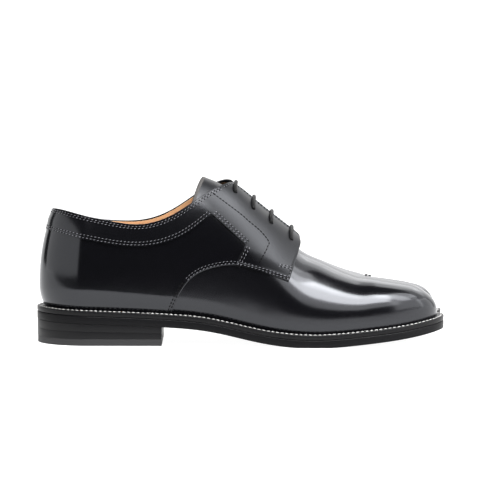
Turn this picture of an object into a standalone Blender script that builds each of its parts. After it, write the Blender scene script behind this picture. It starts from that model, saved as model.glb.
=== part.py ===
"""Split-toe lace-up dress shoe for the right foot, as separate leather and rubber pieces.

Sizes are in millimetres and become metres in solid(). +X points to the toe, +Y to the inner
(big toe) side, +Z up. The origin is on the floor under the middle of the shoe.
"""

import math
from bisect import bisect_right

import bmesh
import bpy
import numpy as np
from mathutils import Vector

MM = 0.001
LATERAL = -1
MEDIAL = 1

# Driving sizes
GAP = 0.3  # clearance between neighbouring pieces
FOOT = 0.5  # foot of the upper above the welt
HEEL_BACK = -148.0  # x of the outsole's back end
HEEL_WIDE = -110.0  # x where the heel's round end begins
HEEL_GIRTH = 53.0  # length along the round heel from that station to the back seam
HEEL_BREAST = -56.5  # x of the heel's front face
OUTSOLE = 5.8  # thickness of the outsole
SOLE_EDGE = 9.5  # thickness of outsole and welt together
TOP_PIECE = 5.0  # heel piece on the floor
WELT_LEDGE = 4.8  # welt showing outside the foot of the upper
WELT_WIDE = 8.5  # whole width of the welt
WELT_NOTCH = (94.5, 3.0)  # x and half width where the welt's inner edge parts for the toes
INSOLE_INSET = 8.8  # insole's edge inside the outsole's edge
INSOLE_NOTCH = (94.2, 3.3)  # x and half width where the insole parts for the toes
INSOLE_RISE = 2.2  # top of the insole above the welt
WALL = 1.6  # leather of the upper
QUARTER_IN = 0.75  # inner face of the quarter above the upper
QUARTER_OUT = 1.6  # outer face of the quarter above the upper
FACING_IN = 2.25  # inner face of the collar and facing piece above the upper
FACING_OUT = 3.05  # outer face of the collar and facing piece above the upper
CLEFT_X = 91.5  # where the split of the toe begins
CLEFT_RUN = 8.0  # length over which the split reaches the welt
SHIFT_Y = 4.0  # from the heel's middle line to the middle of the whole width
NOTCH = (119.0, 1.0)  # x and half width of the notch in sole and welt
NOSE_X = 118.0  # where the toes begin to round down
THROAT_X = 36.0  # back edge of the vamp under the facings
EYELET = 3.6  # punched hole
LACE = 2.2  # round braided lace
LACE_LIFT = 0.4  # clearance between lace and facing
TONGUE = 2.0  # thickness of the tongue
TONGUE_HALF = (21.0, 26.0)  # half width of the tongue at its foot and at its top
INSTEP_Y = 4.0  # the instep's middle line lies this far to the inner side
CORNER_X = 40.0  # where the facing's edge begins to round into its front edge
BACK_SEAM = -162.8  # girth station of the quarter's edge at the back seam
SIDE_STEPS = 21  # steps of the sole's outline from the heel's round end to the notch
HEEL_STEPS = 5  # steps from there to the heel's front face

# Underside of the outsole along the shoe
SOLE_LINE = (
    # x, height
    (-148.0, 16.9),
    (-57.0, 13.5),
    (-20.0, 10.1),
    (10.0, 3.9),
    (35.0, 0.4),
    (56.0, -0.35),
    (87.0, 1.9),
    (122.0, 6.0),
    (148.0, 10.5),
)

# Half widths of the outsole from the heel to the ball of the foot
LATERAL_EDGE = (
    # x, half width
    (-110.0, 34.0),
    (-75.0, 34.4),
    (-35.0, 35.6),
    (0.0, 40.2),
    (30.0, 45.8),
    (55.0, 47.5),
)
MEDIAL_EDGE = (
    # x, half width
    (-110.0, 34.0),
    (-75.0, 32.8),
    (-35.0, 30.4),
    (0.0, 34.4),
    (35.0, 45.6),
    (75.0, 55.5),
)

# The toes: each runs from the widest station to a tip
TOE = {
    # side: widest x, half width, tip x, tip y, squareness
    LATERAL: (55.0, 47.5, 148.0, -4.0, 2.35),
    MEDIAL: (75.0, 55.5, 148.0, 33.0, 2.5),
}

# Height of the last over the middle of the foot
RIDGE = (
    # x, upper, quarter
    (-110.0, 117.4, 119.0),
    (-75.0, 131.0, 132.6),
    (-35.0, 127.0, 128.6),
    (-12.0, 117.6, 119.2),
    (0.0, 108.8, 111.2),
    (12.0, 97.4, 100.6),
    (24.0, 85.8, 90.7),
    (35.0, 74.2, 82.0),
    (45.0, 65.0, 74.6),
    (58.0, 58.6, 66.6),
    (70.0, 53.2, 60.4),
    (84.0, 48.0, 54.0),
    (112.0, 42.6, 48.0),
    (148.0, 36.2, 42.0),
)

# Shape of the cross-section along the shoe
SECTION = (
    # x, height of widest line over the welt, bulge, tuck below it, fullness
    (-110.0, 16.0, 1.6, 3.2, 2.0),
    (-60.0, 14.0, 1.2, 2.8, 2.25),
    (-20.0, 13.4, 0.8, 2.1, 2.45),
    (10.0, 12.7, 0.6, 1.7, 2.4),
    (50.0, 11.0, 0.6, 1.2, 2.1),
    (90.0, 9.0, 0.4, 0.8, 2.4),
    (120.0, 8.4, 0.3, 0.6, 2.85),
    (148.0, 8.0, 0.2, 0.4, 2.9),
)

# Collar line; u is x, and goes on round the heel to the back seam
COLLAR = (
    # u, lateral height, medial height
    (-163.0, 97.5, 97.0),
    (-136.0, 97.3, 93.6),
    (-115.0, 94.1, 88.8),
    (-88.0, 89.0, 85.8),
    (-72.0, 87.8, 86.4),
    (-60.0, 90.0, 89.5),
    (-47.0, 95.5, 96.0),
    (-32.0, 105.0, 106.4),
    (-21.0, 111.7, 113.3),
    (-10.0, 115.9, 117.2),
    (0.0, 116.6, 117.5),
)

# Half width of the gap between the facings
THROAT_GAP = (
    # x, half width
    (-12.0, 10.0),
    (0.0, 8.0),
    (40.0, 4.5),
    (60.0, 4.0),
)

# Lower edge of the collar band
BAND_LINE = (
    # u, height
    (-163.0, 81.8),
    (-137.0, 80.6),
    (-115.5, 77.3),
    (-98.0, 74.0),
    (-76.0, 71.7),
    (-65.0, 72.3),
    (-50.5, 75.8),
    (-36.2, 82.8),
    (-20.4, 95.2),
)

# Seam of the quarter over the vamp, from the welt to the front corner
SEAM_LINE = (
    # x, height
    (-49.5, 24.0),
    (-47.8, 28.5),
    (-43.4, 37.8),
    (-36.2, 47.8),
    (-28.0, 53.6),
    (-18.0, 57.0),
    (-7.0, 58.7),
    (3.0, 57.6),
    (15.0, 54.2),
    (35.0, 47.6),
)

# Front edge of the facing, from the corner up
FRONT_LINE = (
    # x, height
    (35.0, 47.6),
    (38.4, 56.8),
    (41.4, 64.6),
    (44.0, 72.0),
)

# Corners of the quarter where it shows between band, facing and seam
INLAY_BACK = (-20.4, 95.2)
INLAY_FRONT = (4.2, 73.4)
INLAY_FOOT = (-3.4, 58.5)

# Eyelets on the side view
EYELETS = (
    # x, height
    (-3.7, 110.3),
    (9.5, 98.5),
    (22.4, 88.0),
    (36.9, 76.2),
)

# Ridge of the tongue
TONGUE_LINE = (
    # x, height
    (-27.0, 119.6),
    (-12.0, 113.0),
    (0.0, 104.4),
    (12.0, 93.2),
    (24.0, 81.6),
    (35.0, 70.8),
    (46.0, 61.2),
)


class Line:
    """Smooth curve through table rows; a slope can be set at either end."""

    def __init__(self, rows, column=1, first=None, last=None):
        self.x = [row[0] for row in rows]
        self.y = [row[column] for row in rows]
        n = len(rows)
        a = np.zeros((n, n))
        b = np.zeros(n)
        h = np.diff(self.x)
        s = np.diff(self.y) / h
        for i in range(1, n - 1):
            a[i, i - 1 : i + 2] = h[i - 1], 2 * (h[i - 1] + h[i]), h[i]
            b[i] = 6 * (s[i] - s[i - 1])
        a[0, 0] = a[-1, -1] = 1.0
        if first is not None:
            a[0, :2] = 2 * h[0], h[0]
            b[0] = 6 * (s[0] - first)
        if last is not None:
            a[-1, -2:] = h[-1], 2 * h[-1]
            b[-1] = 6 * (last - s[-1])
        self.m = [float(v) for v in np.linalg.solve(a, b)]

    def __call__(self, x):
        x = min(max(x, self.x[0]), self.x[-1])
        i = min(max(bisect_right(self.x, x) - 1, 0), len(self.x) - 2)
        h = self.x[i + 1] - self.x[i]
        p = (self.x[i + 1] - x) / h
        q = 1.0 - p
        bend = (p**3 - p) * self.m[i] + (q**3 - q) * self.m[i + 1]
        return p * self.y[i] + q * self.y[i + 1] + bend * h * h / 6.0


sole_line = Line(SOLE_LINE)
edge_line = {LATERAL: Line(LATERAL_EDGE, 1, 0.0, 0.0), MEDIAL: Line(MEDIAL_EDGE, 1, 0.0, 0.0)}
ridge_line = Line(RIDGE, 1, 0.0)
quarter_ridge = Line(RIDGE, 2, 0.0)
hip_line = Line(SECTION, 1, 0.0)
bulge_line = Line(SECTION, 2, 0.0)
tuck_line = Line(SECTION, 3, 0.0)
full_line = Line(SECTION, 4, 0.0)
collar_line = {LATERAL: Line(COLLAR, 1, 0.0), MEDIAL: Line(COLLAR, 2, 0.0)}
gap_line = Line(THROAT_GAP)
band_line = Line(BAND_LINE, 1, 0.0)
seam_line = Line(SEAM_LINE)
front_line = Line(FRONT_LINE)
tongue_line = Line(TONGUE_LINE)


def ease(t):
    t = min(max(t, 0.0), 1.0)
    return t * t * (3.0 - 2.0 * t)


def dome(t, power):
    """Height left of a rounded end at share t of its length."""
    return max(0.0, 1.0 - min(max(t, 0.0), 1.0) ** power) ** (1.0 / power)


def tread(x):
    return max(0.0, sole_line(x))


def sole_top(x):
    """Top of the outsole."""
    return sole_line(x) + OUTSOLE


def seat(x):
    """Top of the welt."""
    return sole_line(x) + SOLE_EDGE


def tip(side, inset):
    return TOE[side][2] - inset


def edge(side, x, inset):
    """Signed y of the outsole's edge at x, moved in by inset."""
    wide, half, end, tip_y, power = TOE[side]
    if x <= HEEL_WIDE:
        share = (HEEL_WIDE - x) / (HEEL_WIDE - HEEL_BACK - inset)
        return side * (edge_line[side](HEEL_WIDE) - inset) * math.sqrt(max(0.0, 1.0 - share * share))
    if x <= wide:
        return side * (edge_line[side](x) - inset)
    share = (x - wide) / (end - inset - wide)
    return tip_y + (side * (half - inset) - tip_y) * dome(share, power)


def crest(side, x):
    """Y of the highest line of each half: one ridge at the instep, one on each toe."""
    middle = INSTEP_Y * ease((x - HEEL_WIDE) / 100.0)
    spread = ease((x - 48.0) / 66.0)
    return middle + side * 2.0 + (TOE[side][3] - middle - side * 2.0) * spread


def cleft_y(x):
    return 0.5 * (crest(LATERAL, x) + crest(MEDIAL, x))


def nose(side, x, inset):
    return dome((x - NOSE_X) / (tip(side, inset) - NOSE_X), 2.8)


def lift(x, q):
    """How far the facings stand off the vamp near the throat."""
    stand = quarter_ridge(x) - QUARTER_OUT - ridge_line(x)
    return stand * ease((q - 0.42) / 0.5)


def section(side, x, q, depth, lifted=False):
    """Y and z on the form: q is -1 at the welt, 0 at the widest line and 1 on the crest."""
    inset = WELT_LEDGE + depth
    left = nose(side, x, inset)
    foot = seat(x) + FOOT
    hip = foot + hip_line(x) * left
    top = foot + (ridge_line(x) - depth * ease((x + 45.0) / 45.0) - foot) * left
    if lifted:
        top += lift(x, q)
    wide = edge(side, x, inset) + side * bulge_line(x) * left
    if q <= 0.0:
        tuck = tuck_line(x) * left * (-q) ** (2.0 + 1.5 * ease((x + 40.0) / 90.0))
        return wide - side * tuck, hip + q * (hip - foot)
    power = 2.0 / full_line(x)
    c = max(0.0, math.cos(q * math.pi / 2)) ** power
    s = math.sin(q * math.pi / 2) ** power
    middle = crest(side, x)
    return middle + (wide - middle) * c, hip + (top - hip) * s


def skin(side, u, q, depth=0.0, lifted=False):
    """Point on the form at girth station u, height share q and depth below the leather's face."""
    if u >= HEEL_WIDE:
        y, z = section(side, u, q, depth, lifted)
        return u, y, z
    turn = (HEEL_WIDE - u) / HEEL_GIRTH * math.pi / 2
    inset = WELT_LEDGE + depth
    y, z = section(side, HEEL_WIDE, q, depth)
    half = abs(edge(side, HEEL_WIDE, inset)) + bulge_line(HEEL_WIDE)
    long = HEEL_WIDE - HEEL_BACK - inset + bulge_line(HEEL_WIDE)
    x = HEEL_WIDE - abs(y) / half * long * math.sin(turn)
    if q < 0.0:
        z -= q * (seat(x) - seat(HEEL_WIDE))
    return x, y * math.cos(turn), z


def level(side, u, z, depth):
    """Height share q at which the face at that depth of the lifted form has height z."""
    low, high = -1.0, 1.0
    for _ in range(40):
        q = 0.5 * (low + high)
        if skin(side, u, q, depth, True)[2] < z:
            low = q
        else:
            high = q
    return 0.5 * (low + high)


def gap_level(side, x):
    """Height share at the edge of the gap between the facings."""
    low, high = 0.0, 1.0
    aim = cleft_y(x) + side * gap_line(x)
    for _ in range(40):
        q = 0.5 * (low + high)
        if side * (section(side, x, q, 0.0, True)[0] - aim) > 0.0:
            low = q
        else:
            high = q
    return 0.5 * (low + high)


def top_level(side, u):
    """Height share of the collar line and, in front of it, of the facing's edge."""
    blend = ease((u + 12.0) / 11.0)
    collar = level(side, u, collar_line[side](u), -FACING_OUT) if blend < 1.0 else 0.0
    gap = gap_level(side, u) if blend > 0.0 else 0.0
    return collar * (1.0 - blend) + gap * blend


def solid(name, points, faces, material):
    mesh = bpy.data.meshes.new(name)
    mesh.from_pydata([(x * MM, (y - SHIFT_Y) * MM, z * MM) for x, y, z in points], [], faces)
    bm = bmesh.new()
    bm.from_mesh(mesh)
    bmesh.ops.triangulate(bm, faces=bm.faces, quad_method="SHORT_EDGE")
    bmesh.ops.recalc_face_normals(bm, faces=bm.faces)
    bm.to_mesh(mesh)
    bm.free()
    mesh.materials.append(material)
    item = bpy.data.objects.new(name, mesh)
    bpy.context.scene.collection.objects.link(item)
    return item


def leather(name, colour, rough):
    material = bpy.data.materials.new(name)
    material.use_nodes = True
    shader = material.node_tree.nodes["Principled BSDF"]
    shader.inputs["Base Color"].default_value = (*colour, 1.0)
    shader.inputs["Roughness"].default_value = rough
    return material


def thicken(name, outer, inner, faces, material):
    """Closed solid from one sheet of faces with an outer and an inner set of points."""
    count = len(outer)
    edges = {}
    for face in faces:
        for a, b in zip(face, face[1:] + face[:1]):
            key = (min(a, b), max(a, b))
            edges[key] = None if key in edges else (a, b)
    skinned = list(faces) + [tuple(i + count for i in reversed(face)) for face in faces]
    for pair in edges.values():
        if pair:
            a, b = pair
            skinned.append((b, a, a + count, b + count))
    return solid(name, list(outer) + list(inner), skinned, material)


def spread_of(first, last, count):
    return [first + (last - first) * i / count for i in range(count + 1)]


def body_columns(inset, stop, count):
    """X stations round the back of the heel, then count steps on to stop."""
    long = HEEL_WIDE - HEEL_BACK - inset
    heel = [HEEL_WIDE - long * math.cos(a * math.pi / 18) for a in range(9)]
    return heel + spread_of(HEEL_WIDE, stop, count)


def toe_columns(side, inset, start):
    run = tip(side, inset) - start
    return [start + run * math.sin(a * math.pi / 20) for a in range(1, 11)]


def notch_edge(side, x, inset, half):
    """Signed y of the toe's edge along the notch, rounded into the tip."""
    end = tip(side, inset)
    tip_y = TOE[side][3]
    return tip_y + (cleft_y(x) + side * half - tip_y) * dome((x - end + 9.0) / 9.0, 2.0)


def plate(name, inset, notch, low, high, material):
    """Plate of the sole's outline between two height functions, split at the toe."""
    stop, half = notch
    points = []
    faces = []

    def add(x, y):
        points.append((x, y))
        return len(points) - 1

    stations = body_columns(inset, stop, SIDE_STEPS)
    last = [add(stations[0], 0.0)]
    for x in stations[1:-1]:
        pair = [add(x, edge(LATERAL, x, inset)), add(x, edge(MEDIAL, x, inset))]
        faces.append((*last, *reversed(pair)))
        last = pair
    row = [add(stop, edge(LATERAL, stop, inset)), add(stop, cleft_y(stop) - half)]
    row += [add(stop, cleft_y(stop) + half), add(stop, edge(MEDIAL, stop, inset))]
    faces.append((*last, *reversed(row)))
    for side in (LATERAL, MEDIAL):
        last = row[:2] if side == LATERAL else row[3:1:-1]
        for x in toe_columns(side, inset, stop)[:-1]:
            pair = [add(x, edge(side, x, inset)), add(x, notch_edge(side, x, inset, half))]
            faces.append((*last, *reversed(pair)))
            last = pair
        faces.append((*last, add(tip(side, inset), TOE[side][3])))
    top = [(x, y, high(x)) for x, y in points]
    bottom = [(x, y, low(x)) for x, y in points]
    return thicken(name, top, bottom, faces, material)


def outline(inset, notch):
    """Closed plan loop: lateral side, notch, medial side."""
    stop, half = notch
    stations = body_columns(inset, stop, SIDE_STEPS)
    loop = [(stations[0], 0.0)]
    loop += [(x, edge(LATERAL, x, inset)) for x in stations[1:]]
    for side in (LATERAL, MEDIAL):
        toes = toe_columns(side, inset, stop)
        out = [(x, edge(side, x, inset)) for x in toes]
        back = [(x, notch_edge(side, x, inset, half)) for x in reversed(toes[:-1])]
        back.append((stop, cleft_y(stop) + side * half))
        loop += out + back if side == LATERAL else list(reversed(out + back))
    loop += [(x, edge(MEDIAL, x, inset)) for x in reversed(stations[1:])]
    return loop


def make_welt(material):
    """Ring under the foot of the upper."""
    outer = outline(0.0, NOTCH)
    inner = outline(WELT_WIDE, WELT_NOTCH)
    count = len(outer)
    plan = outer + inner
    faces = []
    for i in range(count):
        j = (i + 1) % count
        faces.append((i, j, j + count, i + count))
    top = [(x, y, seat(x)) for x, y in plan]
    bottom = [(x, y, sole_top(x) + GAP) for x, y in plan]
    return thicken("welt", top, bottom, faces, material)


def insole_top(x):
    return seat(x) + INSOLE_RISE


def make_lift(name, inset, low, high, material):
    """One layer of the heel, cut straight at the breast."""
    points = []
    faces = []
    stations = body_columns(inset, HEEL_BREAST, HEEL_STEPS)
    points.append((stations[0], 0.0))
    last = [0]
    for x in stations[1:]:
        points.append((x, edge(LATERAL, x, inset)))
        points.append((x, edge(MEDIAL, x, inset)))
        pair = [len(points) - 2, len(points) - 1]
        faces.append((*last, *reversed(pair)))
        last = pair
    top = [(x, y, high(x)) for x, y in points]
    bottom = [(x, y, low(x)) for x, y in points]
    return thicken(name, top, bottom, faces, material)


def lift_seam(x):
    """Joint between the two lifts of the heel."""
    return TOP_PIECE + GAP + 0.5 * (tread(x) - TOP_PIECE - 3 * GAP)


LOWER_ROWS = (-1.0, -0.5, 0.0)
UPPER_ROWS = 5
INNER_ROWS = 4
REAR = [-163.0 + 5.9 * i for i in range(9)] + spread_of(HEEL_WIDE, THROAT_X, 12)
FRONT = [44.0, 54.0, 65.0, 76.0, 84.5, 88.5, 90.0, 91.5, 93.0, 95.0, 97.2, 99.5]
FRONT += [105.0, 111.0, 118.0]
NOSE = [math.sin(a * math.pi / 12) for a in range(1, 7)]
SPLIT = FRONT.index(90.0)
OPEN = FRONT.index(99.5)


def upper_top(side, u):
    """Edge of the upper: the collar line, then just under the facing's edge."""
    return top_level(side, u) - 0.035 * ease((u + 12.0) / 11.0)


def row_level(row, top):
    if row < len(LOWER_ROWS):
        return LOWER_ROWS[row]
    share = (row - len(LOWER_ROWS) + 1) / UPPER_ROWS
    return top * share if share <= 1.0 else 1.0


def front_x(side, column, depth):
    if column == OPEN:
        return FRONT[column] - 0.6 * depth
    if column < len(FRONT):
        return FRONT[column]
    end = tip(side, WELT_LEDGE + depth)
    return NOSE_X + (end - NOSE_X) * NOSE[column - len(FRONT)]


def toe_point(side, x, turn, depth, joined):
    """Point between a crest and the split: turn is 0 on the crest, 1 at the split's foot."""
    inset = WELT_LEDGE + depth
    left = nose(side, x, inset)
    foot = seat(x) + FOOT
    top = foot + (ridge_line(x) - depth - foot) * left
    half = 0.25 + 0.95 * ease((x - CLEFT_X) / 25.0) + depth
    middle = crest(side, x)
    wall = cleft_y(x) + (0.0 if joined else side * half)
    end = tip(side, inset)
    wall = middle + (wall - middle) * dome((x - end + 10.0) / 10.0, 2.0)
    deep = (top - foot) * ease((x - CLEFT_X + depth) / CLEFT_RUN)
    across = math.sin(turn * math.pi / 2) ** (2.0 / 3.2)
    left_over = max(0.0, math.cos(turn * math.pi / 2)) ** (2.0 / 3.2)
    return x, middle + (wall - middle) * across, top - deep * (1.0 - left_over)


def make_upper(material):
    """One hollow wall: vamp with split toe, sides and heel, open at collar, throat and foot."""
    outer = []
    inner = []
    faces = []
    seen = {}

    def vertex(key, place):
        if key not in seen:
            seen[key] = len(outer)
            outer.append(place(0.0))
            inner.append(place(WALL))
        return seen[key]

    rows = len(LOWER_ROWS) + UPPER_ROWS
    throat = {side: upper_top(side, THROAT_X) for side in (LATERAL, MEDIAL)}

    def rear(side, i, j):
        u = REAR[i]
        key = ("rear", side if i else 0, i, j)
        q = row_level(j, upper_top(side, u))
        return vertex(key, lambda depth: skin(side, u, q, depth))

    def front(side, c, j):
        """Rows go from the foot over the crest to the split; column -1 is the throat."""
        last = rows + INNER_ROWS
        if c == len(FRONT) + len(NOSE) - 1:
            return vertex(("tip", side), lambda d: skin(side, front_x(side, c, d), 1.0, d))
        if c < 0 and j < rows:
            return rear(side, len(REAR) - 1, j)
        x = THROAT_X if c < 0 else None
        if j <= rows:
            q = row_level(j, throat[side])
            key = ("front", side, c, j)
            return vertex(key, lambda d: skin(side, x or front_x(side, c, d), q, d))
        joined = j == last and c < SPLIT
        key = ("front", 0 if joined else side, c, j)
        turn = (j - rows) / INNER_ROWS
        return vertex(key, lambda d: toe_point(side, x or front_x(side, c, d), turn, d, joined))

    def quad(place, side, c, j):
        """Face between two columns and two rows, without the corners that fall together."""
        face = []
        for column, row in ((c, j), (c + 1, j), (c + 1, j + 1), (c, j + 1)):
            v = place(side, column, row)
            if v not in face:
                face.append(v)
        if len(face) > 2:
            faces.append(tuple(face))

    last = rows + INNER_ROWS
    for side in (LATERAL, MEDIAL):
        for i in range(len(REAR) - 1):
            for j in range(rows - 1):
                quad(rear, side, i, j)
        for c in range(-1, len(FRONT) + len(NOSE) - 1):
            for j in range(last):
                quad(front, side, c, j)
    for c in range(SPLIT - 1, OPEN):
        floor = [front(LATERAL, c, last), front(LATERAL, c + 1, last)]
        floor += [v for v in (front(MEDIAL, c + 1, last), front(MEDIAL, c, last)) if v not in floor]
        faces.append(tuple(floor))
    return thicken("upper", outer, inner, faces, material)


def front_top(side, u):
    """Upper edge of the quarter, rounded into the facing's front edge."""
    end = FRONT_LINE[-1][0]
    if u <= CORNER_X:
        return top_level(side, u)
    low = level(side, end, FRONT_LINE[-1][1], -FACING_OUT)
    return low + (top_level(side, CORNER_X) - low) * dome((u - CORNER_X) / (end - CORNER_X), 2.0)


def seam_level(side, u):
    """Lower edge of the quarter: the welt, the seam over the vamp, then the facing's front edge."""
    if u <= SEAM_LINE[0][0]:
        return -1.0
    if u <= SEAM_LINE[-1][0]:
        return max(-1.0, level(side, u, seam_line(u), -QUARTER_OUT))
    return level(side, u, front_line(u), -QUARTER_OUT)


def panel(name, side, columns, rows, inside, outside, material):
    """Sheet between two forms; each column is a pair of (u, q) ends."""
    outer = []
    inner = []
    faces = []
    for low, high in columns:
        for j in range(rows + 1):
            u = low[0] + (high[0] - low[0]) * j / rows
            q = low[1] + (high[1] - low[1]) * j / rows
            outer.append(skin(side, u, q, -outside, True))
            inner.append(skin(side, u, q, -inside, True))
    step = rows + 1
    for i in range(len(columns) - 1):
        for j in range(rows):
            a = i * step + j
            faces.append((a, a + step, a + step + 1, a + 1))
    return thicken(name, outer, inner, faces, material)


QUARTER_STATIONS = (
    [BACK_SEAM]
    + REAR[1:9]
    + spread_of(HEEL_WIDE, SEAM_LINE[0][0], 5)
    + [-48.6, -46.8, -43.6, -38.0, -31.0]
    + [-24.0, -18.0, -13.0, -8.5, -4.0, 0.5]
    + spread_of(6.0, 35.0, 4)
    + [37.4, 39.6, 41.4, 42.8, 43.7]
)


BAND_STATIONS = (
    [BACK_SEAM] + REAR[1:9] + spread_of(HEEL_WIDE, -40.0, 6) + [-33.0, -28.0, -24.0, INLAY_BACK[0]]
)


def make_quarter(name, side, material):
    columns = [((u, seam_level(side, u)), (u, front_top(side, u))) for u in QUARTER_STATIONS]
    return panel(name, side, columns, 8, QUARTER_IN, QUARTER_OUT, material)


def facing_columns(side):
    """Columns of the collar and facing piece, leaning so that they clear the quarter's corner."""

    def low_at(u, z):
        return u, level(side, u, z, -FACING_OUT)

    def high_at(u):
        return u, front_top(side, u)

    columns = []
    for u in BAND_STATIONS:
        share = max(0.0, (u - HEEL_WIDE) / (INLAY_BACK[0] - HEEL_WIDE))
        columns.append((low_at(u, band_line(u)), high_at(u + 6.5 * share**3)))
    for start, stop, first, final, count in (
        (INLAY_BACK, INLAY_FRONT, -14.0, 24.0, 7),
        (INLAY_FRONT, INLAY_FOOT, 24.0, 33.0, 3),
    ):
        for i in range(1, count + 1):
            t = i / count
            u = start[0] + (stop[0] - start[0]) * t
            z = start[1] + (stop[1] - start[1]) * t
            columns.append((low_at(u, z), high_at(first + (final - first) * t)))
    for i in range(1, 6):
        u = INLAY_FOOT[0] + (FRONT_LINE[0][0] - INLAY_FOOT[0]) * i / 5
        columns.append(((u, seam_level(side, u)), high_at(33.0 + 5.6 * i / 5)))
    for u, over in ((37.4, 39.6), (39.6, 40.7), (41.4, 41.9), (42.8, 43.0), (43.7, 43.7)):
        columns.append(((u, seam_level(side, u)), high_at(over)))
    return columns


def make_facing(name, side, material):
    return panel(name, side, facing_columns(side), 6, FACING_IN, FACING_OUT, material)


def make_tongue(material):
    outer = []
    inner = []
    faces = []
    foot_half, top_half = TONGUE_HALF
    stations = spread_of(TONGUE_LINE[-1][0], TONGUE_LINE[0][0], 10)
    across = spread_of(-1.0, 1.0, 8)
    for x in stations:
        middle = cleft_y(x)
        for s in across:
            side = LATERAL if s < 0 else MEDIAL
            wide = abs(section(side, x, 0.0, WALL + 0.6)[0] - middle)
            half = foot_half + (top_half - foot_half) * ease((stations[0] - x) / 60.0)
            half = min(half, 0.8 * wide)
            hip = seat(x) + FOOT + hip_line(x)
            power = full_line(x)
            for depth, kept in ((0.0, outer), (TONGUE, inner)):
                flank = half * abs(s) / (wide - depth)
                drop = (1.0 - flank**power) ** (1.0 / power)
                z = hip + (tongue_line(x) - depth - hip) * drop
                pull = 9.0 * s * s * ease(-x / 27.0)
                kept.append((x - pull, middle + s * half, z))
    step = len(across)
    for i in range(len(stations) - 1):
        for j in range(step - 1):
            a = i * step + j
            faces.append((a, a + step, a + step + 1, a + 1))
    return thicken("tongue", outer, inner, faces, material)


def eyelet_frame(side, x, z, depth):
    """Centre on the facing and the outward normal there."""
    q = level(side, x, z, -FACING_OUT)
    here = Vector(skin(side, x, q, depth, True))
    along = Vector(skin(side, x + 0.5, q, depth, True)) - here
    up = Vector(skin(side, x, q + 0.004, depth, True)) - here
    normal = along.cross(up).normalized()
    if normal.z < 0.0:
        normal.negate()
    return here, normal


def make_punches():
    """Cutters for the eyelets."""
    bm = bmesh.new()
    for side in (LATERAL, MEDIAL):
        for x, z in EYELETS:
            centre, normal = eyelet_frame(side, x, z, -FACING_OUT)
            turn = normal.to_track_quat("Z", "Y").to_matrix().to_4x4()
            turn.translation = (centre - normal * 3.0 - Vector((0.0, SHIFT_Y, 0.0))) * MM
            radius = EYELET * 0.5 * MM
            bmesh.ops.create_cone(
                bm, cap_ends=True, segments=8, radius1=radius, radius2=radius, depth=18.0 * MM, matrix=turn
            )
    mesh = bpy.data.meshes.new("eyelet_punches")
    bm.to_mesh(mesh)
    bm.free()
    cutter = bpy.data.objects.new("eyelet_punches", mesh)
    bpy.context.scene.collection.objects.link(cutter)
    cutter.hide_render = True
    cutter.display_type = "WIRE"
    return cutter


def punch(item, cutter):
    cut = item.modifiers.new("eyelets", "BOOLEAN")
    cut.operation = "DIFFERENCE"
    cut.solver = "EXACT"
    cut.object = cutter


def make_lace(name, x, z, material):
    """One bar of the lace from eyelet to eyelet, just clear of the facings."""
    above = FACING_OUT + LACE * 0.5 + LACE_LIFT
    path = []
    for side in (LATERAL, MEDIAL):
        start = eyelet_frame(side, x, z, -above)[0]
        top = top_level(side, x)
        q = level(side, x, z, -FACING_OUT)
        half = [Vector(skin(side, x + t, q + (top - q) * t, -above, True)) for t in (0.35, 0.7, 1.0)]
        points = [start] + half
        path += points if side == LATERAL else list(reversed(points))
    path.insert(4, (path[3] + path[4]) * 0.5)
    rings = []
    sides = 6
    for i, point in enumerate(path):
        ahead = (path[min(i + 1, len(path) - 1)] - path[max(i - 1, 0)]).normalized()
        first = ahead.cross(Vector((1.0, 0.0, 0.0))).normalized()
        second = ahead.cross(first)
        for k in range(sides):
            a = 2.0 * math.pi * k / sides
            rings.append(tuple(point + (first * math.cos(a) + second * math.sin(a)) * LACE * 0.5))
    faces = [tuple(range(sides)), tuple(reversed(range(len(rings) - sides, len(rings))))]
    for i in range(len(path) - 1):
        for k in range(sides):
            a = i * sides + k
            b = i * sides + (k + 1) % sides
            faces.append((a, b, b + sides, a + sides))
    return solid(name, rings, faces, material)


def main():
    for item in list(bpy.data.objects):
        bpy.data.objects.remove(item, do_unlink=True)
    black = (0.012, 0.012, 0.013)
    tan = (0.62, 0.4, 0.24)
    plate("outsole", 0.0, NOTCH, tread, sole_top, leather("sole_leather", black, 0.5))
    make_welt(leather("welt_leather", black, 0.5))
    layers = (
        ("heel_top_piece", 0.5, lambda x: 0.0, lambda x: TOP_PIECE),
        ("heel_lift_lower", 0.3, lambda x: TOP_PIECE + GAP, lift_seam),
        ("heel_lift_upper", 0.2, lambda x: lift_seam(x) + GAP, lambda x: tread(x) - GAP),
    )
    for name, inset, low, high in layers:
        make_lift(name, inset, low, high, leather(f"{name}_stock", black, 0.6))
    board = leather("insole_leather", tan, 0.6)
    plate("insole", INSOLE_INSET, INSOLE_NOTCH, lambda x: sole_top(x) + GAP, insole_top, board)
    pieces = [make_upper(leather("vamp_leather", black, 0.2))]
    for side, word in ((LATERAL, "lateral"), (MEDIAL, "medial")):
        pieces.append(make_quarter(f"quarter_{word}", side, leather(f"quarter_leather_{word}", black, 0.2)))
        pieces.append(make_facing(f"facing_{word}", side, leather(f"facing_leather_{word}", black, 0.2)))
    punches = make_punches()
    for piece in pieces:
        punch(piece, punches)
    make_tongue(leather("tongue_leather", black, 0.25))
    for number, (x, z) in enumerate(EYELETS, 1):
        make_lace(f"lace_bar_{number}", x, z, leather(f"lace_cord_{number}", black, 0.7))


main()
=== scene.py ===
"""Looks of the split-toe lace-up shoe: dense leather, stitching, lace, lining, sole edges and the stage.

It is laid out as an add-on and runs as a script. The form's tables are in millimetres, with the same
driving sizes as the solids, and metres() turns points into the frame's metres.
"""

import math
from bisect import bisect_right

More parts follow.
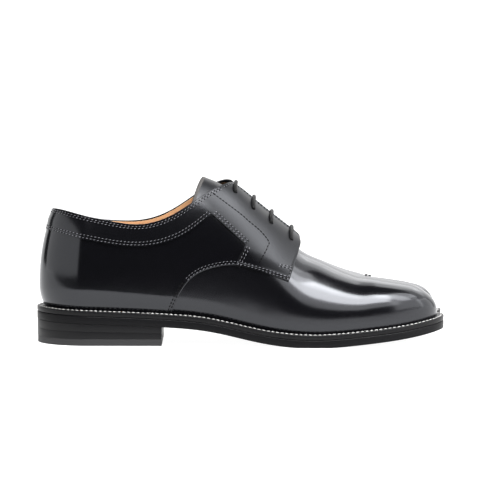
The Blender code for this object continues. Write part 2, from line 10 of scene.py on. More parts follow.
import bpy
import numpy as np
from bpy.props import FloatProperty, FloatVectorProperty, PointerProperty
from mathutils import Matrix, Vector


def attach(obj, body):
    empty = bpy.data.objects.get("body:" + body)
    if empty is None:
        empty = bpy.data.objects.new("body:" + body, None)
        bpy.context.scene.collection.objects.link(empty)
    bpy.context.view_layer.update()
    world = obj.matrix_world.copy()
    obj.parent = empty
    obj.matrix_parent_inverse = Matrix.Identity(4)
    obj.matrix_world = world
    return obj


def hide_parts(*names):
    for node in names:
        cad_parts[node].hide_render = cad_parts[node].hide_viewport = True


bl_info = {
    "name": "Split-toe lace-up shoe",
    "version": (1, 0, 0),
    "blender": (4, 5, 0),
    "location": "View3D > Sidebar > Shoe",
    "description": "Builds the leather, stitching, lace, sole and stage of one shoe round its solids",
    "category": "Object",
}

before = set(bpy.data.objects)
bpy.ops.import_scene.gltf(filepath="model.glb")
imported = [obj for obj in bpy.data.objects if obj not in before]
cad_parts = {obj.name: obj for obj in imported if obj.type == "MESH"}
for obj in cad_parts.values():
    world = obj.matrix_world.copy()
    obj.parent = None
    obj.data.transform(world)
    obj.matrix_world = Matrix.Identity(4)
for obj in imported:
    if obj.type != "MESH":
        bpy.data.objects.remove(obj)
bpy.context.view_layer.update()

MM = 0.001
LATERAL = -1
MEDIAL = 1
SIDES = ((LATERAL, "lateral"), (MEDIAL, "medial"))

# Driving sizes of the form, in millimetres
FOOT = 0.1  # foot of the upper above the welt
HEEL_BACK = -148.0
HEEL_WIDE = -110.0
HEEL_GIRTH = 53.0
HEEL_BREAST = -56.5
OUTSOLE = 5.8
SOLE_EDGE = 9.4
TOP_PIECE = 5.0
WELT_LEDGE = 4.8
WALL = 1.6
QUARTER_OUT = 1.6
FACING_OUT = 3.05
CLEFT_X = 91.5
CLEFT_RUN = 8.0
SHIFT_Y = 4.0
NOTCH_X = 119.0
NOSE_X = 118.0
CORNER_X = 40.0
BACK_SEAM = -163.0
SEAM_HALF = 0.15  # half the gap at the back seam
EYELET = 3.6
PUNCH = 12.0  # length of the tool that cuts an eyelet
GLUE = 0.03  # gap between the heel's layers
BENDS = tuple(math.radians(a) for a in (0.0, 30.0, 60.0, 90.0))  # steps of a rounded edge
SMOOTH = 35.0  # degrees up to which faces meet smoothly
UP = Vector((0.0, 0.0, 1.0))

# Underside of the outsole along the shoe
SOLE_LINE = (
    # x, height
    (-148.0, 16.9),
    (-57.0, 13.5),
    (-20.0, 10.1),
    (10.0, 3.9),
    (35.0, 0.4),
    (56.0, -0.35),
    (87.0, 1.9),
    (122.0, 6.0),
    (148.0, 10.5),
)

# Half widths of the outsole from the heel to the ball of the foot
LATERAL_EDGE = (
    # x, half width
    (-110.0, 34.0),
    (-75.0, 34.4),
    (-35.0, 35.6),
    (0.0, 40.2),
    (30.0, 45.8),
    (55.0, 47.5),
)
MEDIAL_EDGE = (
    # x, half width
    (-110.0, 34.0),
    (-75.0, 32.8),
    (-35.0, 30.4),
    (0.0, 34.4),
    (35.0, 45.6),
    (75.0, 55.5),
)

# The toes: each runs from the widest station to a tip
TOE = {
    # side: widest x, half width, tip x, tip y, squareness
    LATERAL: (55.0, 47.5, 148.0, -4.0, 2.35),
    MEDIAL: (75.0, 55.5, 148.0, 33.0, 2.5),
}

# Height of the last over the middle of the foot
RIDGE = (
    # x, upper, quarter
    (-110.0, 117.4, 119.0),
    (-75.0, 131.0, 132.6),
    (-35.0, 127.0, 128.6),
    (-12.0, 117.6, 119.2),
    (0.0, 108.8, 111.2),
    (12.0, 97.4, 100.6),
    (24.0, 85.8, 90.7),
    (35.0, 74.2, 82.0),
    (45.0, 65.0, 74.6),
    (58.0, 58.6, 66.6),
    (70.0, 53.2, 60.4),
    (84.0, 48.0, 54.0),
    (112.0, 42.6, 48.0),
    (148.0, 36.2, 42.0),
)

# Shape of the cross-section along the shoe
SECTION = (
    # x, height of widest line over the welt, bulge, tuck below it, fullness
    (-110.0, 16.0, 1.6, 3.2, 2.0),
    (-60.0, 14.0, 1.2, 2.8, 2.25),
    (-20.0, 13.4, 0.8, 2.1, 2.45),
    (10.0, 12.7, 0.6, 1.7, 2.4),
    (50.0, 11.0, 0.6, 1.2, 2.1),
    (90.0, 9.0, 0.4, 0.8, 2.4),
    (120.0, 8.4, 0.3, 0.6, 2.85),
    (148.0, 8.0, 0.2, 0.4, 2.9),
)

# Collar line; u is x, and goes on round the heel to the back seam
COLLAR = (
    # u, lateral height, medial height
    (-163.0, 97.5, 97.0),
    (-136.0, 97.3, 93.6),
    (-115.0, 94.1, 88.8),
    (-88.0, 89.0, 85.8),
    (-72.0, 87.8, 86.4),
    (-60.0, 90.0, 89.5),
    (-47.0, 95.5, 96.0),
    (-32.0, 105.0, 106.4),
    (-21.0, 111.7, 113.3),
    (-10.0, 115.9, 117.2),
    (0.0, 116.6, 117.5),
)

# Half width of the gap between the facings
THROAT_GAP = (
    # x, half width
    (-12.0, 10.0),
    (0.0, 8.0),
    (40.0, 4.5),
    (60.0, 4.0),
)

# Lower edge of the collar band
BAND_LINE = (
    # u, height
    (-163.0, 81.8),
    (-137.0, 80.6),
    (-115.5, 77.3),
    (-98.0, 74.0),
    (-76.0, 71.7),
    (-65.0, 72.3),
    (-50.5, 75.8),
    (-36.2, 82.8),
    (-20.4, 95.2),
)

# Seam of the quarter over the vamp, from the welt to the front corner
SEAM_LINE = (
    # x, height
    (-49.5, 24.0),
    (-47.8, 28.5),
    (-43.4, 37.8),
    (-36.2, 47.8),
    (-28.0, 53.6),
    (-18.0, 57.0),
    (-7.0, 58.7),
    (3.0, 57.6),
    (15.0, 54.2),
    (35.0, 47.6),
)

# Front edge of the facing, from the corner up
FRONT_LINE = (
    # x, height
    (35.0, 47.6),
    (38.4, 56.8),
    (41.4, 64.6),
    (44.0, 72.0),
)

# Corners of the quarter where it shows between band, facing and seam
INLAY_BACK = (-20.4, 95.2)
INLAY_FRONT = (4.2, 73.4)
INLAY_FOOT = (-3.4, 58.5)

# Eyelets on the side view
EYELETS = (
    # x, height
    (-3.7, 110.3),
    (9.5, 98.5),
    (22.4, 88.0),
    (36.9, 76.2),
)

# Ridge of the tongue
TONGUE_LINE = (
    # x, height
    (-27.0, 119.6),
    (-12.0, 113.0),
    (0.0, 104.4),
    (12.0, 93.2),
    (24.0, 81.6),
    (35.0, 70.8),
    (46.0, 61.2),
)


class Line:
    """Smooth curve through table rows; a slope can be set at either end."""

    def __init__(self, rows, column=1, first=None, last=None):
        self.x = [row[0] for row in rows]
        self.y = [row[column] for row in rows]
        n = len(rows)
        a = np.zeros((n, n))
        b = np.zeros(n)
        h = np.diff(self.x)
        s = np.diff(self.y) / h
        for i in range(1, n - 1):
            a[i, i - 1 : i + 2] = h[i - 1], 2 * (h[i - 1] + h[i]), h[i]
            b[i] = 6 * (s[i] - s[i - 1])
        a[0, 0] = a[-1, -1] = 1.0
        if first is not None:
            a[0, :2] = 2 * h[0], h[0]
            b[0] = 6 * (s[0] - first)
        if last is not None:
            a[-1, -2:] = h[-1], 2 * h[-1]
            b[-1] = 6 * (last - s[-1])
        self.m = [float(v) for v in np.linalg.solve(a, b)]

    def __call__(self, x):
        x = min(max(x, self.x[0]), self.x[-1])
        i = min(max(bisect_right(self.x, x) - 1, 0), len(self.x) - 2)
        h = self.x[i + 1] - self.x[i]
        p = (self.x[i + 1] - x) / h
        q = 1.0 - p
        bend = (p**3 - p) * self.m[i] + (q**3 - q) * self.m[i + 1]
        return p * self.y[i] + q * self.y[i + 1] + bend * h * h / 6.0


sole_line = Line(SOLE_LINE)
edge_line = {LATERAL: Line(LATERAL_EDGE, 1, 0.0, 0.0), MEDIAL: Line(MEDIAL_EDGE, 1, 0.0, 0.0)}
ridge_line = Line(RIDGE, 1, 0.0)
quarter_ridge = Line(RIDGE, 2, 0.0)
hip_line = Line(SECTION, 1, 0.0)
bulge_line = Line(SECTION, 2, 0.0)
tuck_line = Line(SECTION, 3, 0.0)
full_line = Line(SECTION, 4, 0.0)
collar_line = {LATERAL: Line(COLLAR, 1, 0.0), MEDIAL: Line(COLLAR, 2, 0.0)}
gap_line = Line(THROAT_GAP)
band_line = Line(BAND_LINE, 1, 0.0)
seam_line = Line(SEAM_LINE)
front_line = Line(FRONT_LINE)
tongue_line = Line(TONGUE_LINE)


def ease(t):
    """Smooth step from 0 to 1 as t goes from 0 to 1."""
    t = min(max(t, 0.0), 1.0)
    return t * t * (3.0 - 2.0 * t)


def dome(t, power):
    """Height left of a rounded end at share t of its length."""
    return max(0.0, 1.0 - min(max(t, 0.0), 1.0) ** power) ** (1.0 / power)


def tread(x):
    """Underside of the outsole, flat where it would go below the floor."""
    return max(0.0, sole_line(x))


def seat(x):
    """Top of the welt."""
    return sole_line(x) + SOLE_EDGE + 0.1


def tip(side, inset):
    """X of a toe's tip, moved in by inset."""
    return TOE[side][2] - inset


def edge(side, x, inset):
    """Signed y of the outsole's edge at x, moved in by inset."""
    wide, half, end, tip_y, power = TOE[side]
    if x <= HEEL_WIDE:
        share = (HEEL_WIDE - x) / (HEEL_WIDE - HEEL_BACK - inset)
        return side * (edge_line[side](HEEL_WIDE) - inset) * math.sqrt(max(0.0, 1.0 - share * share))
    if x <= wide:
        return side * (edge_line[side](x) - inset)
    share = (x - wide) / (end - inset - wide)
    return tip_y + (side * (half - inset) - tip_y) * dome(share, power)


def crest(side, x):
    """Y of the highest line of each half: one ridge at the instep, one on each toe."""
    middle = 4.0 * ease((x + 110.0) / 100.0)
    spread = ease((x - 48.0) / 66.0)
    return middle + side * 2.0 + (TOE[side][3] - middle - side * 2.0) * spread


def cleft_y(x):
    """Y of the split, midway between the two crests."""
    return 0.5 * (crest(LATERAL, x) + crest(MEDIAL, x))


def nose(side, x, inset):
    """Share of the height left at x as a toe rounds down to its tip."""
    return dome((x - NOSE_X) / (tip(side, inset) - NOSE_X), 2.8)


def lift(x, q):
    """How far the facings stand off the vamp near the throat."""
    stand = quarter_ridge(x) - QUARTER_OUT - ridge_line(x)
    return stand * ease((q - 0.42) / 0.5)


def section(side, x, q, depth, lifted=False):
    """Y and z on the form: q is -1 at the welt, 0 at the widest line and 1 on the crest."""
    inset = WELT_LEDGE + depth
    left = nose(side, x, inset)
    foot = seat(x) + FOOT
    hip = foot + hip_line(x) * left
    top = foot + (ridge_line(x) - depth * ease((x + 45.0) / 45.0) - foot) * left
    if lifted:
        top += lift(x, q)
    wide = edge(side, x, inset) + side * bulge_line(x) * left
    if q <= 0.0:
        tuck = tuck_line(x) * left * (-q) ** (2.0 + 1.5 * ease((x + 40.0) / 90.0))
        return wide - side * tuck, hip + q * (hip - foot)
    power = 2.0 / full_line(x)
    c = max(0.0, math.cos(q * math.pi / 2)) ** power
    s = math.sin(q * math.pi / 2) ** power
    middle = crest(side, x)
    return middle + (wide - middle) * c, hip + (top - hip) * s


def skin(side, u, q, depth=0.0, lifted=False):
    """Point on the form at girth station u, height share q and depth below the leather's face."""
    if u >= HEEL_WIDE:
        y, z = section(side, u, q, depth, lifted)
        return u, y, z
    turn = (HEEL_WIDE - u) / HEEL_GIRTH * math.pi / 2
    inset = WELT_LEDGE + depth
    y, z = section(side, HEEL_WIDE, q, depth)
    half = abs(edge(side, HEEL_WIDE, inset)) + bulge_line(HEEL_WIDE)
    long = HEEL_WIDE - HEEL_BACK - inset + bulge_line(HEEL_WIDE)
    x = HEEL_WIDE - abs(y) / half * long * math.sin(turn)
    if q < 0.0:
        z -= q * (seat(x) - seat(HEEL_WIDE))
    return x, y * math.cos(turn), z


def search(low, below, steps):
    """Height share between low and 1 up to which below holds."""
    high = 1.0
    for _ in range(steps):
        q = 0.5 * (low + high)
        if below(q):
            low = q
        else:
            high = q
    return 0.5 * (low + high)


def level(side, u, z, depth):
    """Height share q at which the face at that depth of the lifted form has height z."""
    return search(-1.0, lambda q: skin(side, u, q, depth, True)[2] < z, 26)


def gap_level(side, x):
    """Height share at the edge of the gap between the facings."""
    aim = cleft_y(x) + side * gap_line(x)
    return search(0.0, lambda q: side * (section(side, x, q, 0.0, True)[0] - aim) > 0.0, 40)


def top_level(side, u):
    """Height share of the collar line and, in front of it, of the facing's edge."""
    blend = ease((u + 12.0) / 11.0)
    collar = level(side, u, collar_line[side](u), -FACING_OUT) if blend < 1.0 else 0.0
    gap = gap_level(side, u) if blend > 0.0 else 0.0
    return collar * (1.0 - blend) + gap * blend


def toe_point(side, x, turn, depth, joined):
    """Point between a crest and the split: turn is 0 on the crest, 1 at the split's foot."""
    inset = WELT_LEDGE + depth
    left = nose(side, x, inset)
    foot = seat(x) + FOOT
    top = foot + (ridge_line(x) - depth - foot) * left
    half = 0.25 + 0.95 * ease((x - CLEFT_X) / 25.0) + depth
    middle = crest(side, x)
    wall = cleft_y(x) + (0.0 if joined else side * half)
    end = tip(side, inset)
    wall = middle + (wall - middle) * dome((x - end + 10.0) / 10.0, 2.0)
    deep = (top - foot) * ease((x - CLEFT_X + depth) / CLEFT_RUN)
    across = math.sin(turn * math.pi / 2) ** (2.0 / 3.2)
    left_over = max(0.0, math.cos(turn * math.pi / 2)) ** (2.0 / 3.2)
    return x, middle + (wall - middle) * across, top - deep * (1.0 - left_over)


def front_top(side, u):
    """Upper edge of the quarter, rounded into the facing's front edge."""
    end = FRONT_LINE[-1][0]
    if u <= CORNER_X:
        return top_level(side, u)
    low = level(side, end, FRONT_LINE[-1][1], -FACING_OUT)
    return low + (top_level(side, CORNER_X) - low) * dome((u - CORNER_X) / (end - CORNER_X), 2.0)


def seam_level(side, u):
    """Lower edge of the quarter: the welt, the seam over the vamp, then the facing's front edge."""
    if u <= SEAM_LINE[0][0]:
        return -1.0
    if u <= SEAM_LINE[-1][0]:
        return max(-1.0, level(side, u, seam_line(u), -QUARTER_OUT))
    return level(side, u, front_line(u), -QUARTER_OUT)


def spread_of(first, last, count):
    """Even steps from first to last, both included."""
    return [first + (last - first) * i / count for i in range(count + 1)]


def body_columns(inset, stop, count):
    """X stations from the back of the heel to stop, count of them past the heel's curve."""
    long = HEEL_WIDE - HEEL_BACK - inset
    heel = [HEEL_WIDE - long * math.cos(a * math.pi / 60) for a in range(30)]
    return heel + spread_of(HEEL_WIDE, stop, count)


def toe_columns(side, inset, start):
    """X stations from start to a toe's tip, drawn together at the tip."""
    run = tip(side, inset) - start
    return [start + run * math.sin(a * math.pi / 60) for a in range(1, 31)]


def notch_edge(side, x, inset, half):
    """Signed y of the toe's edge along the notch, rounded into the tip."""
    end = tip(side, inset)
    tip_y = TOE[side][3]
    return tip_y + (cleft_y(x) + side * half - tip_y) * dome((x - end + 9.0) / 9.0, 2.0)


def eyelet_frame(side, x, z, depth):
    """Centre on the facing and the outward normal there."""
    return place_on(side, x, level(side, x, z, -FACING_OUT), depth)


def place_on(side, u, q, depth):
    """Point on the lifted form and the outward normal there."""
    here = Vector(skin(side, u, q, depth, True))
    along = Vector(skin(side, u + 0.4, q, depth, True)) - Vector(skin(side, u - 0.4, q, depth, True))
    above = Vector(skin(side, u, min(q + 0.004, 1.0), depth, True))
    up = above - Vector(skin(side, u, q - 0.004, depth, True))
    return here, along.cross(up).normalized() * (-side)


def metres(points):
    """Points of the form in the frame's metres."""
    return [(x * MM, (y - SHIFT_Y) * MM, z * MM) for x, y, z in points]


def new_object(name, points, faces, material):
    """Object from points in millimetres, alone selected and active."""
    bpy.ops.object.select_all(action="DESELECT")
    mesh = bpy.data.meshes.new(name)
    mesh.from_pydata(metres(points), [], faces)
    mesh.materials.append(material)
    item = bpy.data.objects.new(name, mesh)
    bpy.context.scene.collection.objects.link(item)
    item.select_set(True)
    bpy.context.view_layer.objects.active = item
    return item


def make(name, points, faces, material, angle=SMOOTH):
    """New object with doubles merged and faces outward, smooth up to an angle."""
    item = new_object(name, points, faces, material)
    bpy.ops.object.mode_set(mode="EDIT")
    bpy.ops.mesh.select_all(action="SELECT")
    bpy.ops.mesh.remove_doubles(threshold=2e-6)
    bpy.ops.mesh.normals_make_consistent(inside=False)
    bpy.ops.object.mode_set(mode="OBJECT")
    bpy.ops.object.shade_smooth_by_angle(angle=math.radians(angle))
    return item


def apply_all(item):
    """Applies every modifier of an object."""
    bpy.context.view_layer.objects.active = item
    for name in [change.name for change in item.modifiers]:
        bpy.ops.object.modifier_apply(modifier=name)


def wear(item, slot, *nodes):
    """Ties a finished piece to the frame's root body and hides the solids it stands for; its slot is not
    used.
    """
    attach(item, "root")
    if nodes:
        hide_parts(*nodes)


def unit(vectors):
    """Vectors of an array, each at length 1."""
    return vectors / np.maximum(np.linalg.norm(vectors, axis=-1, keepdims=True), 1e-9)


def shell(name, grid, thickness, rounding, material, turn=1.0, normals=None):
    """Leather sheet from a grid of outer points, with rounded cut edges all round.

    turn is 1 where columns crossed with rows point outward and -1 where they point inward.
    normals, where given, are the outward directions at the grid's points.
    """
    outer = np.array(grid, dtype=float)
    n, m = outer.shape[:2]
    if normals is None:
        normal = unit(np.cross(np.gradient(outer, axis=0), np.gradient(outer, axis=1))) * turn
    else:
        normal = np.array(normals, dtype=float)
    loop = [(i, 0) for i in range(n - 1)] + [(n - 1, j) for j in range(m - 1)]
    loop += [(i, m - 1) for i in range(n - 1, 0, -1)] + [(0, j) for j in range(m - 1, 0, -1)]
    at = tuple(np.array(loop).T)
    rim = outer[at]
    rim_normal = normal[at]
    ahead = unit(np.roll(rim, -1, axis=0) - rim) + unit(rim - np.roll(rim, 1, axis=0))
    out = unit(np.cross(unit(ahead), rim_normal)) * turn
    within = tuple(np.array([(min(max(i, 1), n - 2), min(max(j, 1), m - 2)) for i, j in loop]).T)
    room = np.linalg.norm(rim - outer[within], axis=1, keepdims=True)
    soft = np.minimum(rounding, 0.6 * room)
    inner = outer - normal * thickness
    face_points = outer.copy()
    face_points[at] = rim - out * soft
    points = list(face_points.reshape(-1, 3)) + list(inner.reshape(-1, 3))
    faces = []
    size = n * m
    for i in range(n - 1):
        for j in range(m - 1):
            a = i * m + j
            faces.append((a, a + m, a + m + 1, a + 1))
            faces.append((a + size, a + 1 + size, a + m + 1 + size, a + m + size))
    rings = [[i * m + j for i, j in loop]]
    for bend in BENDS[1:]:
        ring = rim - out * soft * (1.0 - math.sin(bend))
        ring = ring - rim_normal * rounding * (1.0 - math.cos(bend))
        rings.append([len(points) + k for k in range(len(loop))])
        points += list(ring)
    rings.append([size + i * m + j for i, j in loop])
    for first, second in zip(rings, rings[1:]):
        for k in range(len(loop)):
            following = (k + 1) % len(loop)
            faces.append((first[following], first[k], second[k], second[following]))
    return make(name, points, faces, material)


SOLE_COLUMNS = 76
# Plans of the sole: inset, x of the notch and its half width
OUTER_PLAN = (0.0, NOTCH_X, 1.0)
SEAM_PLAN = (1.9, NOTCH_X - 3.0, 2.6)
INNER_PLAN = (8.5, 94.5, 3.0)
INSOLE_PLAN = (8.8, 94.2, 3.3)


def plan_loop(inset, notch, half):
    """Closed plan of the sole at an inset, with the faces that fill it.

    The notch between the toes starts at x notch and is half wide to each side of the split.
    """
    stations = body_columns(inset, notch, SOLE_COLUMNS)
    toes = {side: toe_columns(side, inset, notch) for side, _ in SIDES}
    points = []

    def add(x, y):
        points.append((x, y))
        return len(points) - 1

    back = add(stations[0], 0.0)
    near = [add(x, edge(LATERAL, x, inset)) for x in stations[1:]]
    near_out = [add(x, edge(LATERAL, x, inset)) for x in toes[LATERAL]]
    near_in = [add(x, notch_edge(LATERAL, x, inset, half)) for x in reversed(toes[LATERAL][:-1])]
    near_in.append(add(notch, cleft_y(notch) - half))
    far_in = [add(notch, cleft_y(notch) + half)]
    far_in += [add(x, notch_edge(MEDIAL, x, inset, half)) for x in toes[MEDIAL][:-1]]
    far_out = [add(x, edge(MEDIAL, x, inset)) for x in reversed(toes[MEDIAL])]
    far = [add(x, edge(MEDIAL, x, inset)) for x in reversed(stations[1:])]
    far_up = list(reversed(far))
    faces = [(back, near[0], far_up[0])]
    for k in range(len(near) - 2):
        faces.append((near[k], near[k + 1], far_up[k + 1], far_up[k]))
    faces.append((near[-2], near[-1], near_in[-1], far_in[0], far_up[-1], far_up[-2]))
    outside = [near[-1]] + near_out
    inside = list(reversed(near_in))
    for k in range(len(inside) - 1):
        faces.append((outside[k], outside[k + 1], inside[k + 1], inside[k]))
    faces.append((outside[-2], outside[-1], inside[-1]))
    outside = [far_up[-1]] + list(reversed(far_out))
    for k in range(len(far_in) - 1):
        faces.append((outside[k + 1], outside[k], far_in[k], far_in[k + 1]))
    faces.append((outside[-1], outside[-2], far_in[-1]))
    return points, faces


def plan_out(plan):
    """Outward direction at each point of a plan loop."""
    loop = np.array(plan)
    ahead = unit(np.roll(loop, -1, axis=0) - loop) + unit(loop - np.roll(loop, 1, axis=0))
    return unit(np.stack((ahead[:, 1], -ahead[:, 0]), axis=1))


def edge_rings(plan, low, high, rounding):
    """Points of a plate's rounded edge, ring by ring, from its upper face down to its lower one."""
    out = plan_out(plan)
    points = []
    for height, sign, bends in ((high, -1.0, BENDS), (low, 1.0, BENDS[::-1])):
        for bend in bends:
            inset = rounding * (1.0 - math.sin(bend))
            shift = sign * rounding * (1.0 - math.cos(bend))
            for (x, y), (a, b) in zip(plan, out):
                points.append((x - a * inset, y - b * inset, height(x) + shift))
    return points


def ring_faces(count, rings, closed=False):
    """Faces between rings of points, and from the last ring to the first if closed."""
    faces = []
    for ring in range(rings if closed else rings - 1):
        a, b = ring * count, (ring + 1) % rings * count
        for k in range(count):
            following = (k + 1) % count
            faces.append((a + following, a + k, b + k, b + following))
    return faces


def slab(name, plan, caps, low, high, rounding, material):
    """Plate between two heights along the shoe, with rounded edges and filled caps."""
    points = edge_rings(plan, low, high, rounding)
    rings = len(points) // len(plan)
    faces = [tuple(face) for face in caps]
    base = len(points) - len(plan)
    faces += [tuple(i + base for i in reversed(face)) for face in caps]
    faces += ring_faces(len(plan), rings)
    return make(name, points, faces, material)


def rgb(code):
    """Linear colour of an sRGB hex code."""
    values = [int(code[i : i + 2], 16) / 255.0 for i in (1, 3, 5)]
    return tuple(v / 12.92 if v <= 0.04045 else ((v + 0.055) / 1.055) ** 2.4 for v in values)


def add_node(tree, kind, settings=None, into=None, **inputs):
    """Adds a node with its settings and links.

    inputs are named with underscores and are values or sockets to link. into is a socket that the
    node's first output goes to.
    """
    item = tree.nodes.new(kind)
    for key, value in (settings or {}).items():
        setattr(item, key, value)
    for key, value in inputs.items():
        socket = item.inputs[key.replace("_", " ")]
        if isinstance(value, bpy.types.NodeSocket):
            tree.links.new(value, socket)
        else:
            socket.default_value = value
    if into is not None:
        tree.links.new(item.outputs[0], into)
    return item


def surface(name, colour, rough, **extra):
    """Material with a principled shader; extra names its other inputs."""
    material = bpy.data.materials.new(name)
    material.use_nodes = True
    shader = material.node_tree.nodes["Principled BSDF"]
    shader.inputs["Base Color"].default_value = (*colour, 1.0)
    shader.inputs["Roughness"].default_value = rough
    for key, value in extra.items():
        shader.inputs[key.replace("_", " ")].default_value = value
    return material, material.node_tree, shader


COOL = rgb("#f5f8ff")  # tint of the reflections on black wax
DULL_ALONG = (0.72, 0.0, 0.69)  # direction across the line where the facings turn dull
DULL_FROM = 47.5 * MM
DULL_TO = 56.0 * MM


def polished_leather(name, rough, dull=None):
    """Calf leather with a wax shine: nearly black, soft-edged reflections, faint pores and swells.

    dull is the roughness above a slanting line at the collar's end, where the facings are less
    polished.
    """
    look = bpy.context.scene.shoe_colours
    material, tree, shader = surface(
        name, look.leather, rough, Coat_Weight=look.wax, Coat_Roughness=0.1,
        Specular_Tint=(*COOL, 1.0), Coat_Tint=(*COOL, 1.0),
    )
    place = add_node(tree, "ShaderNodeTexCoord").outputs["Object"]
    swell = add_node(tree, "ShaderNodeTexNoise", Vector=place, Scale=1.0 / (22.0 * MM), Detail=1.0)
    pores = add_node(tree, "ShaderNodeTexNoise", Vector=place, Scale=1.0 / (0.9 * MM), Detail=2.0)
    under = add_node(
        tree, "ShaderNodeBump", Height=swell.outputs["Fac"], Distance=0.4 * MM, Strength=0.5
    )
    add_node(
        tree, "ShaderNodeBump", None, shader.inputs["Normal"],
        Height=pores.outputs["Fac"], Distance=0.02 * MM, Strength=0.3, Normal=under.outputs["Normal"],
    )
    if dull:
        slant = add_node(tree, "ShaderNodeVectorMath", {"operation": "DOT_PRODUCT"})
        tree.links.new(place, slant.inputs[0])
        slant.inputs[1].default_value = DULL_ALONG
        along = slant.outputs["Value"]
        for key, start, end in (
            ("Roughness", rough, dull),
            ("Specular IOR Level", 0.5, look.dull_gloss),
            ("Coat Weight", look.wax, 0.0),
        ):
            if start != end:
                add_node(
                    tree, "ShaderNodeMapRange", {"interpolation_type": "SMOOTHSTEP"}, shader.inputs[key],
                    Value=along, From_Min=DULL_FROM, From_Max=DULL_TO, To_Min=start, To_Max=end,
                )
    return material


def lining_leather():
    """Undyed vegetable-tanned lining: warm tan, matt, with soft cloudy tone and fine grain."""
    look = bpy.context.scene.shoe_colours
    material, tree, shader = surface("lining_leather", look.lining, 0.62)
    place = add_node(tree, "ShaderNodeTexCoord").outputs["Object"]
    cloud = add_node(tree, "ShaderNodeTexNoise", Vector=place, Scale=1.0 / (18.0 * MM), Detail=3.0)
    tone = add_node(
        tree, "ShaderNodeValToRGB", None, shader.inputs["Base Color"], Fac=cloud.outputs["Fac"]
    )
    for stop, at, share in zip(tone.color_ramp.elements, (0.3, 0.7), (0.86, 1.0)):
        stop.position = at
        stop.color = (*[v * share for v in look.lining], 1.0)
    grain = add_node(tree, "ShaderNodeTexVoronoi", Vector=place, Scale=1.0 / (1.1 * MM))
    add_node(
        tree, "ShaderNodeBump", None, shader.inputs["Normal"],
        Height=grain.outputs["Distance"], Distance=0.06 * MM, Strength=0.5,
    )
    return material


def dressed_edge(name, rough, layer, glint):
    """Black edge dressing on sole leather: satin, with the faint lie of the layers along the edge.

    layer is their thickness in millimetres and glint the specular level.
    """
    look = bpy.context.scene.shoe_colours
    material, tree, shader = surface(name, look.sole_edge, rough, Specular_IOR_Level=glint)
    place = add_node(tree, "ShaderNodeTexCoord").outputs["Object"]
    flat = add_node(tree, "ShaderNodeMapping", Vector=place, Scale=(0.06, 0.06, 1.0))
    lines = add_node(
        tree, "ShaderNodeTexNoise", Vector=flat.outputs["Vector"], Scale=1.0 / (layer * MM), Detail=3.0
    )
    add_node(
        tree, "ShaderNodeBump", None, shader.inputs["Normal"],
        Height=lines.outputs["Fac"], Distance=0.12 * MM, Strength=0.6,
    )
    return material


def heel_rubber():
    """Moulded black rubber: dull, slightly greyed, with a fine pebble."""
    look = bpy.context.scene.shoe_colours
    material, tree, shader = surface("heel_rubber", look.rubber, 0.55)
    place = add_node(tree, "ShaderNodeTexCoord").outputs["Object"]
    pebble = add_node(tree, "ShaderNodeTexNoise", Vector=place, Scale=1.0 / (0.7 * MM), Detail=1.0)
    add_node(
        tree, "ShaderNodeBump", None, shader.inputs["Normal"],
        Height=pebble.outputs["Fac"], Distance=0.05 * MM, Strength=0.6,
    )
    return material


def waxed_cord():
    """Round braided cotton with wax: black strands crossing in a tight diamond weave.

    The map called weave is in millimetres, so a wave scale of 0.45 gives 0.7 mm from strand to
    strand.
    """
    look = bpy.context.scene.shoe_colours
    material, tree, shader = surface("waxed_cord", look.cord, 0.5, Specular_IOR_Level=0.3)
    along = add_node(tree, "ShaderNodeUVMap", {"uv_map": "weave"}).outputs["UV"]
    heights = []
    for turn in (45.0, -45.0):
        lean = add_node(tree, "ShaderNodeMapping", Vector=along, Rotation=(0.0, 0.0, math.radians(turn)))
        wave = add_node(tree, "ShaderNodeTexWave", Vector=lean.outputs["Vector"], Scale=0.45)
        heights.append(wave.outputs["Fac"])
    both = add_node(tree, "ShaderNodeMath", {"operation": "MAXIMUM"})
    tree.links.new(heights[0], both.inputs[0])
    tree.links.new(heights[1], both.inputs[1])
    add_node(
        tree, "ShaderNodeBump", None, shader.inputs["Normal"],
        Height=both.outputs["Value"], Distance=0.35 * MM, Strength=0.9,
    )
    return material


def sewing_thread(name, colour, rough):
    """Waxed linen thread: a fine round cord that catches small highlights. The grey and pale colours
    that callers give it are painted highlights of the stitches.
    """
    return surface(name, colour, rough, Coat_Weight=0.3, Coat_Roughness=0.2)[0]


def dull_black(name, rough):
    """Black dye without wax, as on raw cut leather and cotton thread: matt, with hardly a glint."""
    return surface(name, bpy.context.scene.shoe_colours.dark_thread, rough, Specular_IOR_Level=0.1)[0]


def folded_lining_edge():
    """Matt grey band over the tongue's end, a little lighter than the calf: a painted highlight of the
    light on the tongue's top edge.
    """
    return surface("folded_lining_edge", bpy.context.scene.shoe_colours.tongue_end_highlight, 0.7)[0]


def studio_paper():
    """Matt white paper, lit evenly from all round so that it shows no shadow."""
    look = bpy.context.scene.shoe_stage
    material, _, shader = surface("studio_paper", look.floor, 0.9)
    shader.inputs["Emission Color"].default_value = (1.0, 1.0, 1.0, 1.0)
    shader.inputs["Emission Strength"].default_value = look.paper_glow
    return material


def length_value(name, words, value):
    """Property for a size in metres."""
    return FloatProperty(name=name, description=words, default=value, unit="LENGTH")


def share_value(name, words, value):
    """Property for a share from 0 to 1."""
    return FloatProperty(name=name, description=words, default=value, min=0.0, max=1.0, subtype="FACTOR")


def power_value(name, words, value):
    """Property for a lamp's power in watts."""
    return FloatProperty(name=name, description=words, default=value, min=0.0, unit="POWER")


def colour_value(name, words, code):
    """Property for a colour, from its sRGB hex code."""
    return FloatVectorProperty(name=name, description=words, default=rgb(code), size=3, subtype="COLOR")


